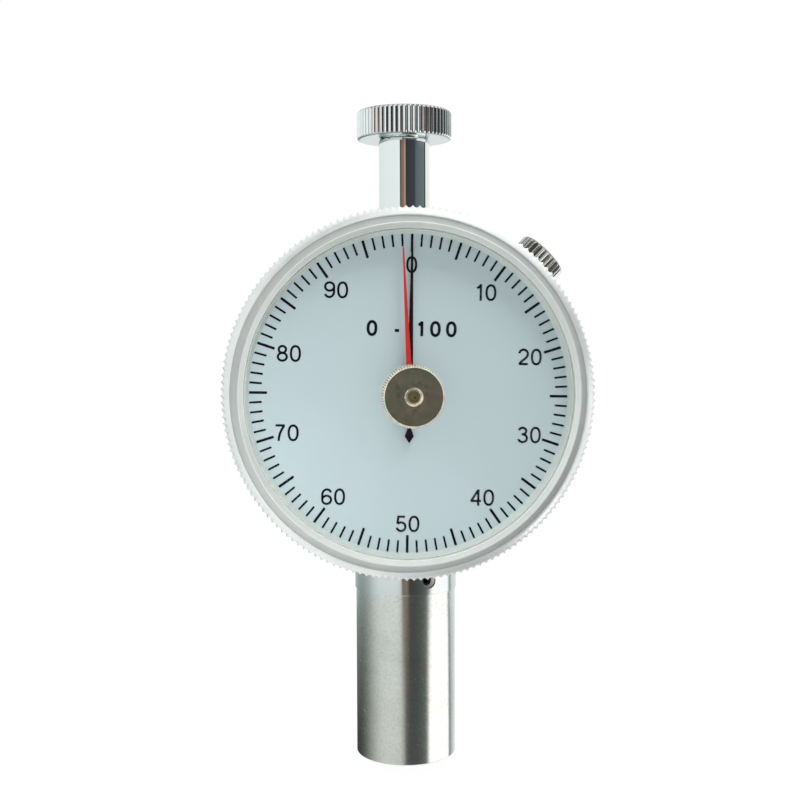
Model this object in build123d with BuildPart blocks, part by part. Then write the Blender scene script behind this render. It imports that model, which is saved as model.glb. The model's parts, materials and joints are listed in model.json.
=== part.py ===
from build123d import *
import os
from math import acos, atan2, cos, degrees, pi, radians, sin, sqrt, tan

# An analog durometer: a spring-loaded indenter is pushed up into the presser foot, and a rack
# and two gear pairs turn a hand once round a dial of 100 divisions. A second hand, set by the
# knob on the crystal, keeps the highest reading.
# Millimetres. The origin is the centre of the presser foot's flat face, +Z runs up the spindle
# and the dial looks along -Y. A depth is measured from the spindle's axis towards the dial, so
# the rear of the case has negative depths.

# Fits and gaps
running_gap = 0.03       # radial, a shaft in its bearing
seat_gap = 0.02          # radial, a pressed or screwed piece in its seat
rest_gap = 0.05          # between faces that meet at rest on moving pieces
bezel_gap = 0.3          # between the case and the bezel's flange

# Presser foot and neck
foot_diameter = 18.0
foot_length = 30.4
foot_wall = 3.0
foot_floor = 3.0
foot_hole_diameter = 3.0
neck_height = 3.4
neck_overhang = 0.2
foot_boss_height = 2.6
foot_boss_diameter = 17.0
guide_tube_depth_in_foot = 11.7

# Indenter, spindle and calibrated spring
stroke = 2.5
indenter_diameter = 1.25
indenter_cone_angle = 30.0
indenter_tip_radius = 0.1
indenter_seat_depth = 6.0
spindle_diameter = 4.0
spindle_head = 1.0
guide_pin_diameter = 1.0
guide_pin_drop = 6.0
spring_mean_diameter = 8.4
spring_wire = 1.2
spring_turns = 5
spring_bends_per_turn = 12
collar_thickness = 1.6
collar_margin = 0.4

# Case and back cover
case_radius = 29.5
case_wall = 1.9
stem_boss_height = 1.7
stem_boss_diameter = 12.0
thread_setback = 0.2
lug_count = 4
lug_length = 7.0
lug_width = 6.0
lug_depth = 4.0
lug_angle = 45.0
cover_thickness = 2.0
cover_edge_chamfer = 0.8

# Bezel, dial and crystal
bezel_overhang = 2.8
bezel_teeth = 170
bezel_knurl_depth = 0.42
bezel_knurl_width = 3.1
bezel_web = 1.1
bezel_tube_wall = 1.2
bezel_tube_lip = 0.5
bezel_edge = 0.25
bezel_chamfer_depth = 0.7
bezel_groove_width = 1.36
bezel_groove_depth = 0.35
dial_thickness = 0.6
dial_hole_diameter = 4.0
spacer_wall = 0.7
spacer_lip = 0.2
crystal_thickness = 1.2
bead_width = 1.0
bead_lead = 0.3

# Hands and reset knob
hand_thickness = 0.2
hand_lift = 0.5
hand_tip_gap = 1.0
hand_tip_width = 0.3
hand_root_width = 1.05
hand_hub_diameter = 3.0
hand_hub_height = 0.8
hand_zero_angle = 1.1
tail_length = 8.4
tail_widest_at = 7.2
tail_width = 1.57
tail_neck_width = 0.45
tail_neck_at = 5.6
max_hand_tip_gap = 2.3
max_hand_tip_width = 0.25
max_hand_angle = -2.55
hands_apart = 0.2
reset_shaft_diameter = 1.96
reset_knob_diameter = 10.7
reset_knob_thickness = 5.2
reset_knob_lift = 0.9
reset_knob_teeth = 56
reset_knob_knurl_depth = 0.2
reset_face_diameter = 9.6
reset_face_height = 0.4
reset_recess_diameter = 3.0
reset_recess_depth = 0.6

# Bezel clamp
clamp_angle = 45.0
clamp_knob_diameter = 9.2
clamp_knob_thickness = 3.7
clamp_knob_teeth = 28
clamp_knob_knurl_depth = 0.4
clamp_knob_clearance = 0.5
clamp_knob_lift = 0.3
clamp_boss_diameter = 7.0
clamp_boss_height = 1.5
clamp_thread_diameter = 3.0
clamp_shoe_diameter = 2.0
clamp_shoe_length = 1.5
clamp_shoe_bore_length = 1.0

# Upper stem and top knob
stem_diameter = 9.1
stem_length = 13.85
stem_thread_diameter = 6.0
stud_diameter = 4.0
stud_depth_in_stem = 8.0
top_knob_diameter = 17.0
top_knob_height = 5.0
top_knob_teeth = 62
top_knob_knurl_depth = 0.25

# Movement
rack_pitch = 0.625
rack_depth_in_spindle = 0.25
rack_pinion_teeth = 16
rack_pinion_width = 2.6
wheel_module = 0.32
wheel_teeth = 48
centre_pinion_teeth = 12
centre_pinion_margin = 0.2
pressure_angle = 20.0
tooth_backlash = 0.05
wheel_thickness = 0.8
wheel_clearance = 0.6
plate_clearance = 0.8
front_plate_thickness = 1.0
front_plate_rim = 1.0
back_plate_thickness = 1.2
back_plate_clearance = 1.0
back_plate_side = 36.0
arbor_diameter = 1.2
pillar_diameter = 3.0
pillar_beyond_wheels = 5.0
pillar_count = 3
pillar_angle = 80.0
hairspring_turns = 3
hairspring_bends_per_turn = 12
hairspring_pitch = 0.8
hairspring_thickness = 0.12
hairspring_height = 0.7
hairspring_lift = 1.4
hairspring_stud_side = 1.0

# Heights that follow from the stack of foot, neck and case
foot_radius = foot_diameter / 2
foot_bore_radius = foot_radius - foot_wall
neck_radius = foot_radius + neck_overhang
guide_tube_radius = foot_bore_radius - seat_gap
guide_tube_bottom = foot_length - guide_tube_depth_in_foot
dial_height = foot_length + neck_height + foot_boss_height + case_radius
stem_bottom = dial_height + case_radius + stem_boss_height
stem_top = stem_bottom + stem_length
knob_bottom = stem_top + rest_gap
spindle_radius = spindle_diameter / 2
spindle_bottom = foot_floor + rest_gap
collar_top = spindle_bottom + collar_thickness

# Radii round the dial axis
case_bore_radius = case_radius - case_wall
bezel_tube_radius = case_bore_radius - 2 * running_gap
bezel_radius = case_radius + bezel_overhang
bezel_root_radius = bezel_radius - bezel_knurl_depth
dial_opening_radius = bezel_tube_radius
spacer_radius = dial_opening_radius + spacer_wall
bezel_recess_radius = spacer_radius + rest_gap
bead_radius = bezel_recess_radius + bead_width
groove_radius = bead_radius + bezel_groove_width
guide_tube_top = dial_height - case_bore_radius - thread_setback
stem_thread_bottom = dial_height + case_bore_radius + thread_setback

# Depths from the spindle's axis towards the dial
case_half_depth = foot_radius
flange_rear = case_half_depth + bezel_gap
knurl_front = flange_rear + bezel_knurl_width
dial_rear = flange_rear + bezel_web
dial_front = dial_rear + dial_thickness
hand_rear = dial_front + hand_lift
hand_front = hand_rear + hand_thickness
hub_front = hand_front + hand_hub_height / 2
hub_rear = hub_front - hand_hub_height
max_hub_rear = hub_front + hands_apart
max_hand_rear = max_hub_rear + hand_thickness / 2
max_hub_front = max_hub_rear + hand_hub_height - hand_thickness
crystal_rear = max_hub_front + hands_apart
crystal_front = crystal_rear + crystal_thickness
bead_front = crystal_front + bead_lead
reset_knob_rear = crystal_front + reset_knob_lift
reset_knob_front = reset_knob_rear + reset_knob_thickness
bezel_rim_front = knurl_front + bezel_chamfer_depth
groove_front = bezel_rim_front - bezel_groove_depth
clamp_depth = flange_rear - clamp_knob_diameter / 2 - clamp_knob_clearance
bezel_tube_rear = clamp_depth - clamp_shoe_diameter / 2 - bezel_tube_lip
wheel_rear = spindle_radius + wheel_clearance
wheel_front = wheel_rear + wheel_thickness
front_plate_rear = wheel_front + plate_clearance
front_plate_front = front_plate_rear + front_plate_thickness
back_plate_front = -(spindle_radius + back_plate_clearance)
back_plate_rear = back_plate_front - back_plate_thickness
cover_front = -case_half_depth
cover_rear = cover_front - cover_thickness

# Places of the gear arbors, seen from the front and measured from the dial axis
rack_module = rack_pitch / pi
rack_pinion_radius = rack_pinion_teeth * rack_module / 2
rack_tip_x = -(spindle_radius - rack_depth_in_spindle)
rack_line_x = rack_tip_x + rack_module
wheel_radius = wheel_teeth * wheel_module / 2
centre_pinion_radius = centre_pinion_teeth * wheel_module / 2
wheel_distance = wheel_radius + centre_pinion_radius
transfer_x = rack_line_x - rack_pinion_radius
transfer_y = -sqrt(wheel_distance**2 - transfer_x**2)
transfer_height = dial_height + transfer_y
centre_mesh_angle = degrees(atan2(-transfer_y, -transfer_x))
centre_tooth_step = 360 / centre_pinion_teeth
centre_tooth_angle = centre_mesh_angle + 180 + centre_tooth_step / 2
pillar_circle_radius = wheel_distance + pillar_beyond_wheels
rack_gaps_below = round(stroke / rack_pitch) + 2
rack_gaps_above = 2
rack_top = transfer_height + (rack_gaps_above + 0.5) * rack_pitch
rack_bottom = transfer_height - (rack_gaps_below + 0.5) * rack_pitch
spindle_top = rack_top + spindle_head
guide_pin_height = transfer_height - guide_pin_drop


def dial_plane(depth):
    """Plane parallel to the dial at a depth, seen from the front, centred on the dial axis."""
    return Plane(origin=(0, -depth, dial_height), x_dir=(1, 0, 0), z_dir=(0, -1, 0))


def depth_section(x=0, y=0):
    """Plane for the half outline, as (radius, depth), of a turned piece square to the dial."""
    return Plane(origin=(x, 0, dial_height + y), x_dir=(1, 0, 0), z_dir=(0, 0, -1))


def depth_axis(x=0, y=0):
    """Axis square to the dial through a place seen from the front."""
    return Axis((x, 0, dial_height + y), (0, -1, 0))


def clamp_plane(radius):
    """Plane square to the clamp screw at a distance from the dial axis."""
    outward = (cos(radians(clamp_angle)), 0, sin(radians(clamp_angle)))
    origin = (radius * outward[0], -clamp_depth, dial_height + radius * outward[2])
    return Plane(origin=origin, x_dir=(0, 1, 0), z_dir=outward)


def knurl(teeth, tip_radius, depth):
    """Corners of a straight V knurl, seen along its axis."""
    points = []
    for corner in range(2 * teeth):
        angle = pi * corner / teeth
        radius = tip_radius - depth * (corner % 2)
        points.append((radius * cos(angle), radius * sin(angle)))
    return points


def gear(teeth, module, first_tooth_angle):
    """Corners of a spur gear whose flanks are chords of the true involutes."""
    pitch_radius = teeth * module / 2
    base_radius = pitch_radius * cos(radians(pressure_angle))
    tip_radius = pitch_radius + module
    root_radius = pitch_radius - 1.25 * module

    def involute(radius):
        angle = acos(min(1, base_radius / radius))
        return tan(angle) - angle

    half_at_pitch = (pi * module / 2 - tooth_backlash) / 2 / pitch_radius
    half_at_tip = half_at_pitch + involute(pitch_radius) - involute(tip_radius)
    half_at_root = half_at_pitch + involute(pitch_radius) - involute(root_radius)
    corners = (
        (root_radius, -half_at_root),
        (tip_radius, -half_at_tip),
        (tip_radius, half_at_tip),
        (root_radius, half_at_root),
    )
    points = []
    for tooth in range(teeth):
        middle = radians(first_tooth_angle) + 2 * pi * tooth / teeth
        for radius, offset in corners:
            points.append((radius * cos(middle + offset), radius * sin(middle + offset)))
    return points


def hand_outline(length, tip_width, root_width):
    """Corners of a straight tapered hand that points up from its hub."""
    return [
        (root_width / 2, 0),
        (tip_width / 2, length - tip_width),
        (0, length),
        (-tip_width / 2, length - tip_width),
        (-root_width / 2, 0),
    ]


# Presser foot: a sleeve whose flat end rests on the sample round the indenter
with BuildPart() as presser_foot:
    with BuildSketch(Plane.XY):
        Circle(foot_radius)
        Circle(foot_hole_diameter / 2, mode=Mode.SUBTRACT)
    extrude(amount=foot_length)
    with BuildSketch(Plane.XY.offset(foot_floor)):
        Circle(foot_bore_radius)
    extrude(amount=foot_length - foot_floor, mode=Mode.SUBTRACT)

# Guide tube: screwed into the foot below and the case's neck above, it carries the spindle, and
# its lower end is the seat of the spring
with BuildPart() as guide_tube:
    with BuildSketch(Plane.XY.offset(guide_tube_bottom)):
        Circle(guide_tube_radius)
        Circle(spindle_radius + running_gap, mode=Mode.SUBTRACT)
    extrude(amount=guide_tube_top - guide_tube_bottom)

# Spindle with the spring's collar, the rack and the guide pin that keeps it from turning;
# every gap of the rack is a trapezium cut straight across
rack_root_x = rack_line_x + 1.25 * rack_module
flank = tan(radians(pressure_angle))
rack_gap_at_line = rack_pitch / 2 + tooth_backlash
rack_gap_at_tip = rack_gap_at_line + 2 * rack_module * flank
rack_gap_at_root = rack_gap_at_line - 2.5 * rack_module * flank
with BuildPart() as spindle:
    with BuildSketch(Plane.XY.offset(spindle_bottom)):
        Circle(spindle_radius)
    extrude(amount=spindle_top - spindle_bottom)
    with BuildSketch(Plane.XY.offset(spindle_bottom)):
        Circle(spring_mean_diameter / 2 + spring_wire / 2 + collar_margin)
    extrude(amount=collar_thickness)
    with BuildSketch(Plane.XY.offset(spindle_bottom)):
        Circle(indenter_diameter / 2 + seat_gap)
    extrude(amount=indenter_seat_depth, mode=Mode.SUBTRACT)
    with BuildSketch(Plane.XZ.offset(-spindle_diameter)):
        with Locations((rack_tip_x, (rack_top + rack_bottom) / 2)):
            Rectangle(spindle_diameter, rack_top - rack_bottom, align=(Align.MAX, Align.CENTER))
        for tooth_gap in range(-rack_gaps_below, rack_gaps_above + 1):
            with Locations((rack_root_x, transfer_height + tooth_gap * rack_pitch)):
                Polygon(
                    (0, rack_gap_at_root / 2),
                    (rack_tip_x - rack_root_x, rack_gap_at_tip / 2),
                    (rack_tip_x - rack_root_x, -rack_gap_at_tip / 2),
                    (0, -rack_gap_at_root / 2),
                    align=None,
                )
    extrude(amount=2 * spindle_diameter, mode=Mode.SUBTRACT)
    with BuildSketch(Plane.XZ.offset(back_plate_rear + rest_gap)):
        with Locations((0, guide_pin_height)):
            Circle(guide_pin_diameter / 2)
    extrude(amount=-back_plate_rear - rest_gap)

# Indenter: a needle with a cone and a blunt tip, one stroke below the foot's face
indenter_radius = indenter_diameter / 2
cone_height = (indenter_radius - indenter_tip_radius) / tan(radians(indenter_cone_angle / 2))
with BuildPart() as indenter:
    with BuildSketch(Plane.XZ):
        with BuildLine():
            Polyline(
                (0, -stroke),
                (indenter_tip_radius, -stroke),
                (indenter_radius, cone_height - stroke),
                (indenter_radius, spindle_bottom + indenter_seat_depth - rest_gap),
                (0, spindle_bottom + indenter_seat_depth - rest_gap),
                close=True,
            )
        make_face()
    revolve(axis=Axis.Z)

# Calibrated spring between the spindle's collar and the guide tube
spring_radius = spring_mean_diameter / 2
spring_low = collar_top + spring_wire / 2 + rest_gap
spring_high = guide_tube_bottom - spring_wire / 2 - rest_gap
spring_pitch = (spring_high - spring_low) / spring_turns
spring_bends = [
    Vector(
        spring_radius * cos(2 * pi * bend / spring_bends_per_turn),
        spring_radius * sin(2 * pi * bend / spring_bends_per_turn),
        spring_low + spring_pitch * bend / spring_bends_per_turn,
    )
    for bend in range(spring_turns * spring_bends_per_turn + 1)
]
with BuildPart() as main_spring:
    with BuildLine() as coil:
        Polyline(*spring_bends)
    with BuildSketch(Plane(origin=spring_bends[0], x_dir=(1, 0, 0), z_dir=spring_bends[1] - spring_bends[0])):
        Rectangle(spring_wire, spring_wire)
    sweep(path=coil.wire(), transition=Transition.RIGHT)

# Case: a drum with the neck that takes the foot, and bosses for the stem and the clamp screw
with BuildPart() as case_body:
    with BuildSketch(dial_plane(-case_half_depth)):
        Circle(case_radius)
    extrude(amount=2 * case_half_depth)
    with BuildSketch(Plane.XY.offset(foot_length)):
        Circle(neck_radius)
    extrude(amount=neck_height)
    with BuildSketch(Plane.XY.offset(foot_length)):
        Circle(foot_boss_diameter / 2)
    extrude(amount=case_radius / 2)
    with BuildSketch(Plane.XY.offset(stem_bottom)):
        Circle(stem_boss_diameter / 2)
    extrude(amount=-case_radius / 2)
    with BuildSketch(clamp_plane(case_radius + clamp_boss_height)):
        Circle(clamp_boss_diameter / 2)
    extrude(amount=-case_radius / 2)
    with BuildSketch(dial_plane(-case_half_depth)):
        Circle(case_bore_radius)
    extrude(amount=2 * case_half_depth, mode=Mode.SUBTRACT)
    with BuildSketch(dial_plane(back_plate_front)):
        with PolarLocations(case_bore_radius - lug_length / 2 + case_wall / 4, lug_count, lug_angle):
            Rectangle(lug_length + case_wall / 2, lug_width)
    extrude(amount=lug_depth)
    with BuildSketch(Plane.XY.offset(foot_length)):
        Circle(foot_bore_radius)
    extrude(amount=case_radius / 2, mode=Mode.SUBTRACT)
    with BuildSketch(Plane.XY.offset(stem_bottom)):
        Circle(stem_thread_diameter / 2)
    extrude(amount=stem_thread_bottom - rest_gap - stem_bottom, mode=Mode.SUBTRACT)
    with BuildSketch(clamp_plane(0)):
        Circle(clamp_shoe_diameter / 2 + rest_gap)
    extrude(amount=case_radius, mode=Mode.SUBTRACT)
    with BuildSketch(clamp_plane(case_bore_radius + clamp_shoe_bore_length)):
        Circle(clamp_thread_diameter / 2)
    extrude(amount=case_radius, mode=Mode.SUBTRACT)

with BuildPart() as back_cover:
    with BuildSketch(dial_plane(cover_rear)):
        Circle(case_radius)
    extrude(amount=cover_thickness)
    chamfer(edges().group_by(Axis.Y)[-1], cover_edge_chamfer)

# Bezel: a tube that turns in the case, with a knurled flange in front of it and a bead round
# the recess for dial, spacer and crystal
with BuildPart() as bezel:
    with BuildSketch(depth_section()):
        with BuildLine():
            Polyline(
                (bezel_tube_radius - bezel_tube_wall, bezel_tube_rear),
                (bezel_tube_radius, bezel_tube_rear),
                (bezel_tube_radius, flange_rear),
                (bezel_radius + bezel_knurl_depth, flange_rear),
                (bezel_radius + bezel_knurl_depth, knurl_front),
                (bezel_root_radius - bezel_edge, knurl_front),
                (groove_radius, bezel_rim_front),
                (bead_radius, groove_front),
                (bead_radius, bead_front),
                (bezel_recess_radius, bead_front),
                (bezel_recess_radius, dial_rear),
                (bezel_tube_radius - bezel_tube_wall, dial_rear),
                close=True,
            )
        make_face()
    revolve(axis=depth_axis())
    with BuildSketch(dial_plane(flange_rear)):
        Circle(bezel_radius + 2 * bezel_knurl_depth)
        Polygon(*knurl(bezel_teeth, bezel_radius, bezel_knurl_depth), align=None, mode=Mode.SUBTRACT)
    extrude(amount=bezel_knurl_width, mode=Mode.SUBTRACT)

with BuildPart() as dial:
    with BuildSketch(dial_plane(dial_rear)):
        Circle(spacer_radius)
        Circle(dial_hole_diameter / 2, mode=Mode.SUBTRACT)
    extrude(amount=dial_thickness)

# Spacer between dial and crystal, with an inner face that opens towards the front
with BuildPart() as dial_spacer_ring:
    with BuildSketch(depth_section()):
        with BuildLine():
            Polyline(
                (dial_opening_radius, dial_front),
                (spacer_radius, dial_front),
                (spacer_radius, crystal_rear),
                (spacer_radius - spacer_lip, crystal_rear),
                close=True,
            )
        make_face()
    revolve(axis=depth_axis())

with BuildPart() as crystal:
    with BuildSketch(dial_plane(crystal_rear)):
        Circle(spacer_radius)
        Circle(reset_shaft_diameter / 2 + running_gap, mode=Mode.SUBTRACT)
    extrude(amount=crystal_thickness)

# Black hand on the centre arbor, with a kite-shaped tail
hand_length = dial_opening_radius - hand_tip_gap
with BuildPart() as main_hand:
    with BuildSketch(dial_plane(hand_rear)):
        with Locations(Location((0, 0, 0), (0, 0, -hand_zero_angle))):
            Polygon(*hand_outline(hand_length, hand_tip_width, hand_root_width), align=None)
            Polygon(
                (hand_root_width / 2, 0),
                (tail_neck_width / 2, -tail_neck_at),
                (tail_width / 2, -tail_widest_at),
                (0, -tail_length),
                (-tail_width / 2, -tail_widest_at),
                (-tail_neck_width / 2, -tail_neck_at),
                (-hand_root_width / 2, 0),
                align=None,
            )
    extrude(amount=hand_thickness)
    with BuildSketch(dial_plane(hub_rear)):
        Circle(hand_hub_diameter / 2)
    extrude(amount=hand_hub_height)
    with BuildSketch(dial_plane(hub_rear)):
        Circle(arbor_diameter / 2 + seat_gap)
    extrude(amount=hand_hub_height - hand_thickness, mode=Mode.SUBTRACT)

# Red hand, turned by the knob through the crystal
max_hand_length = dial_opening_radius - max_hand_tip_gap
with BuildPart() as max_hand:
    with BuildSketch(dial_plane(max_hand_rear)):
        with Locations(Location((0, 0, 0), (0, 0, -max_hand_angle))):
            Polygon(*hand_outline(max_hand_length, max_hand_tip_width, hand_root_width), align=None)
    extrude(amount=hand_thickness)
    with BuildSketch(dial_plane(max_hub_rear)):
        Circle(hand_hub_diameter / 2)
    extrude(amount=max_hub_front - max_hub_rear)
    with BuildSketch(dial_plane(max_hub_rear)):
        Circle(reset_shaft_diameter / 2 + seat_gap)
    extrude(amount=max_hub_front - max_hub_rear, mode=Mode.SUBTRACT)

# Reset knob with the shaft that carries the red hand
with BuildPart() as reset_knob:
    with BuildSketch(dial_plane(max_hub_rear)):
        Circle(reset_shaft_diameter / 2)
    extrude(amount=reset_knob_rear - max_hub_rear)
    with BuildSketch(dial_plane(reset_knob_rear)):
        Polygon(*knurl(reset_knob_teeth, reset_knob_diameter / 2, reset_knob_knurl_depth), align=None)
    extrude(amount=reset_knob_thickness - reset_face_height)
    with BuildSketch(dial_plane(reset_knob_front)):
        Circle(reset_face_diameter / 2)
    extrude(amount=-reset_face_height)
    with BuildSketch(dial_plane(reset_knob_front)):
        Circle(reset_recess_diameter / 2)
    extrude(amount=-reset_recess_depth, mode=Mode.SUBTRACT)

# Bezel clamp: the screw pushes a shoe through the case against the bezel's tube
clamp_shoe_inner = bezel_tube_radius + rest_gap
clamp_shoe_outer = clamp_shoe_inner + clamp_shoe_length
with BuildPart() as clamp_shoe:
    with BuildSketch(clamp_plane(clamp_shoe_inner)):
        Circle(clamp_shoe_diameter / 2)
    extrude(amount=clamp_shoe_length)

clamp_knob_radius = clamp_knob_diameter / 2
clamp_knob_inner = case_radius + clamp_boss_height + clamp_knob_lift
with BuildPart() as clamp_screw:
    with BuildSketch(clamp_plane(clamp_shoe_outer + rest_gap)):
        Circle(clamp_thread_diameter / 2 - rest_gap)
    extrude(amount=clamp_knob_inner + clamp_knob_thickness / 2 - clamp_shoe_outer - rest_gap)
    with BuildSketch(clamp_plane(clamp_knob_inner)):
        Polygon(*knurl(clamp_knob_teeth, clamp_knob_radius, clamp_knob_knurl_depth), align=None)
    extrude(amount=clamp_knob_thickness)

# Upper stem and its cap
with BuildPart() as upper_stem:
    with BuildSketch(Plane.XY.offset(stem_bottom)):
        Circle(stem_diameter / 2)
    extrude(amount=stem_length)
    with BuildSketch(Plane.XY.offset(stem_bottom)):
        Circle(stem_thread_diameter / 2 - seat_gap)
    extrude(amount=stem_thread_bottom - stem_bottom)
    with BuildSketch(Plane.XY.offset(stem_top)):
        Circle(stud_diameter / 2)
    extrude(amount=-stud_depth_in_stem, mode=Mode.SUBTRACT)

with BuildPart() as top_knob:
    with BuildSketch(Plane.XY.offset(knob_bottom)):
        Polygon(*knurl(top_knob_teeth, top_knob_diameter / 2, top_knob_knurl_depth), align=None)
    extrude(amount=top_knob_height)
    with BuildSketch(Plane.XY.offset(knob_bottom)):
        Circle(stud_diameter / 2 - rest_gap)
    extrude(amount=-stud_depth_in_stem)

# Movement frame: two plates on pillars, carried by the lugs of the case
arbor_hole_radius = arbor_diameter / 2 + running_gap
arbor_places = [(0, 0), (transfer_x, transfer_y)]
pin_slot_width = guide_pin_diameter + 4 * running_gap
pin_slot_length = stroke + guide_pin_diameter + 4 * bezel_gap
with BuildPart() as back_plate:
    with BuildSketch(dial_plane(back_plate_rear)):
        Rectangle(back_plate_side, back_plate_side)
        with Locations(*arbor_places):
            Circle(arbor_hole_radius, mode=Mode.SUBTRACT)
        with Locations((0, guide_pin_height + stroke / 2 - dial_height)):
            SlotOverall(pin_slot_length, pin_slot_width, rotation=90, mode=Mode.SUBTRACT)
    extrude(amount=back_plate_thickness)

front_plate_radius = pillar_circle_radius + pillar_diameter / 2 + front_plate_rim
with BuildPart() as front_plate:
    with BuildSketch(dial_plane(front_plate_rear)):
        RegularPolygon(front_plate_radius, 2 * pillar_count, rotation=pillar_angle)
        with Locations(*arbor_places):
            Circle(arbor_hole_radius, mode=Mode.SUBTRACT)
    extrude(amount=front_plate_thickness)

with BuildPart() as plate_pillars:
    with BuildSketch(dial_plane(back_plate_front)):
        with PolarLocations(pillar_circle_radius, pillar_count, pillar_angle):
            RegularPolygon(pillar_diameter / 2, 6)
    extrude(amount=front_plate_rear - back_plate_front)

# Gear train: the rack turns the transfer pinion, whose wheel turns the centre pinion
arbor_radius = arbor_diameter / 2
arbor_rear = back_plate_rear + rest_gap
arbor_front = front_plate_front - rest_gap
with BuildPart() as transfer_arbor:
    with BuildSketch(dial_plane(arbor_rear)):
        with Locations((transfer_x, transfer_y)):
            Circle(arbor_radius)
    extrude(amount=arbor_front - arbor_rear)
    with BuildSketch(dial_plane(-rack_pinion_width / 2)):
        with Locations((transfer_x, transfer_y)):
            Polygon(*gear(rack_pinion_teeth, rack_module, 0), align=None)
    extrude(amount=rack_pinion_width)
    with BuildSketch(dial_plane(wheel_rear)):
        with Locations((transfer_x, transfer_y)):
            Polygon(*gear(wheel_teeth, wheel_module, centre_mesh_angle), align=None)
    extrude(amount=wheel_thickness)

with BuildPart() as centre_arbor:
    with BuildSketch(dial_plane(arbor_rear)):
        Circle(arbor_radius)
    extrude(amount=hub_front - hand_thickness - rest_gap - arbor_rear)
    with BuildSketch(dial_plane(wheel_rear - centre_pinion_margin)):
        Polygon(*gear(centre_pinion_teeth, wheel_module, centre_tooth_angle), align=None)
    extrude(amount=wheel_thickness + 2 * centre_pinion_margin)

# The hairspring, a thin strip that winds out from the centre arbor to its stud, pulls the train
# one way so that it has no play
hairspring_rear = back_plate_front + hairspring_lift
strip_start = arbor_radius + rest_gap + hairspring_thickness / 2
strip_end = strip_start + hairspring_turns * hairspring_pitch


def strip_edge(offset):
    """Points along one side of the hairspring's strip."""
    points = []
    for bend in range(hairspring_turns * hairspring_bends_per_turn + 1):
        turned = bend / hairspring_bends_per_turn
        radius = strip_start + hairspring_pitch * turned + offset
        points.append((radius * cos(2 * pi * turned), radius * sin(2 * pi * turned)))
    return points


with BuildPart() as hairspring:
    with BuildSketch(dial_plane(hairspring_rear)):
        half_strip = hairspring_thickness / 2
        Polygon(*strip_edge(half_strip), *reversed(strip_edge(-half_strip)), align=None)
    extrude(amount=hairspring_height)

with BuildPart() as hairspring_stud:
    with BuildSketch(dial_plane(back_plate_front)):
        with Locations((strip_end, hairspring_stud_side / 2 + rest_gap)):
            Rectangle(hairspring_stud_side, hairspring_stud_side)
    extrude(amount=hairspring_lift + hairspring_height)

pieces = {
    "presser_foot": presser_foot,
    "guide_tube": guide_tube,
    "spindle": spindle,
    "indenter": indenter,
    "main_spring": main_spring,
    "case_body": case_body,
    "back_cover": back_cover,
    "bezel": bezel,
    "dial": dial,
    "dial_spacer_ring": dial_spacer_ring,
    "crystal": crystal,
    "main_hand": main_hand,
    "max_hand": max_hand,
    "reset_knob": reset_knob,
    "clamp_shoe": clamp_shoe,
    "clamp_screw": clamp_screw,
    "upper_stem": upper_stem,
    "top_knob": top_knob,
    "back_plate": back_plate,
    "front_plate": front_plate,
    "plate_pillars": plate_pillars,
    "transfer_arbor": transfer_arbor,
    "centre_arbor": centre_arbor,
    "hairspring": hairspring,
    "hairspring_stud": hairspring_stud,
}
os.makedirs("parts", exist_ok=True)
for name, piece in pieces.items():
    piece.part.label = name
    export_step(piece.part, f"parts/{name}.step")
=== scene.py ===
import json
import math

import bmesh
import bpy
from mathutils import Matrix, Vector


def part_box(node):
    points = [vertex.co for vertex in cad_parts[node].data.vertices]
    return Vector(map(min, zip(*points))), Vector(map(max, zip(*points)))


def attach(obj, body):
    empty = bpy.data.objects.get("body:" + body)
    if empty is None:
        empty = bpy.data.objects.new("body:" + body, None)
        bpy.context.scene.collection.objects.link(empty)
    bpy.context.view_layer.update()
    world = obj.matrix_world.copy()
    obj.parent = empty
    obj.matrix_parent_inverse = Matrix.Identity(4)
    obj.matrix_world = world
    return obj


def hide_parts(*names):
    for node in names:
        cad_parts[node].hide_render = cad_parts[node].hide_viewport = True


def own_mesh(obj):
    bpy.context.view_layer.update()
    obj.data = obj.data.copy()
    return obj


# The looks of an analog durometer: turned, knurled and brushed metal, a printed dial under a clear
# window, and a studio whose screens show in the metal.
# Sizes are in millimetres. A depth is measured from the spindle's axis towards the dial, so a
# point at depth f lies at y = -f. A point of a turned piece's profile is (radius, place along the
# axis), with its share of the knurl's depth as a third number where the piece is knurled.

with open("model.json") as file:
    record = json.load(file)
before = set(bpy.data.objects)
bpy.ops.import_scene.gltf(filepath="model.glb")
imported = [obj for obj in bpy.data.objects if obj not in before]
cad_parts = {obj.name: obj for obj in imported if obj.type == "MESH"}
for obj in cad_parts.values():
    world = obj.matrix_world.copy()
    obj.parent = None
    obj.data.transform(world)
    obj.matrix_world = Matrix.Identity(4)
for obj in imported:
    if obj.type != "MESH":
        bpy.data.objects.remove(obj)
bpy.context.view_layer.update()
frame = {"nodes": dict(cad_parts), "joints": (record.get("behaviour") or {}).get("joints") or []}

MM = 0.001
UP, FRONT, RIGHT = Vector((0, 0, 1)), Vector((0, -1, 0)), Vector((1, 0, 0))
JOINTS = {joint["name"]: joint for joint in frame["joints"]}


def in_mm(metres):
    """A length from the frame, without the rounding of its meshes."""
    return round(metres / MM, 3)


def span(node, axis):
    """Lowest and highest place of a CAD node along x, y or z."""
    return [in_mm(corner["xyz".index(axis)]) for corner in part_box(node)]


def depths(node):
    """Rear and front of a CAD node, as depths."""
    low, high = span(node, "y")
    return -high, -low


def outer_radius(node):
    """Radius of a round CAD node whose axis crosses the spindle's or is the same."""
    return span(node, "x")[1]


# Rounding of the new meshes: edges sharper than an angle in degrees stay sharp, a line over a
# length counts as long, and the extra points of a long line stand a margin from its ends
SHARP_ANGLE, LONG_LINE, LINE_MARGIN = 32, 0.6, 0.05
KNURL_WEAR = 0.12

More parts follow.
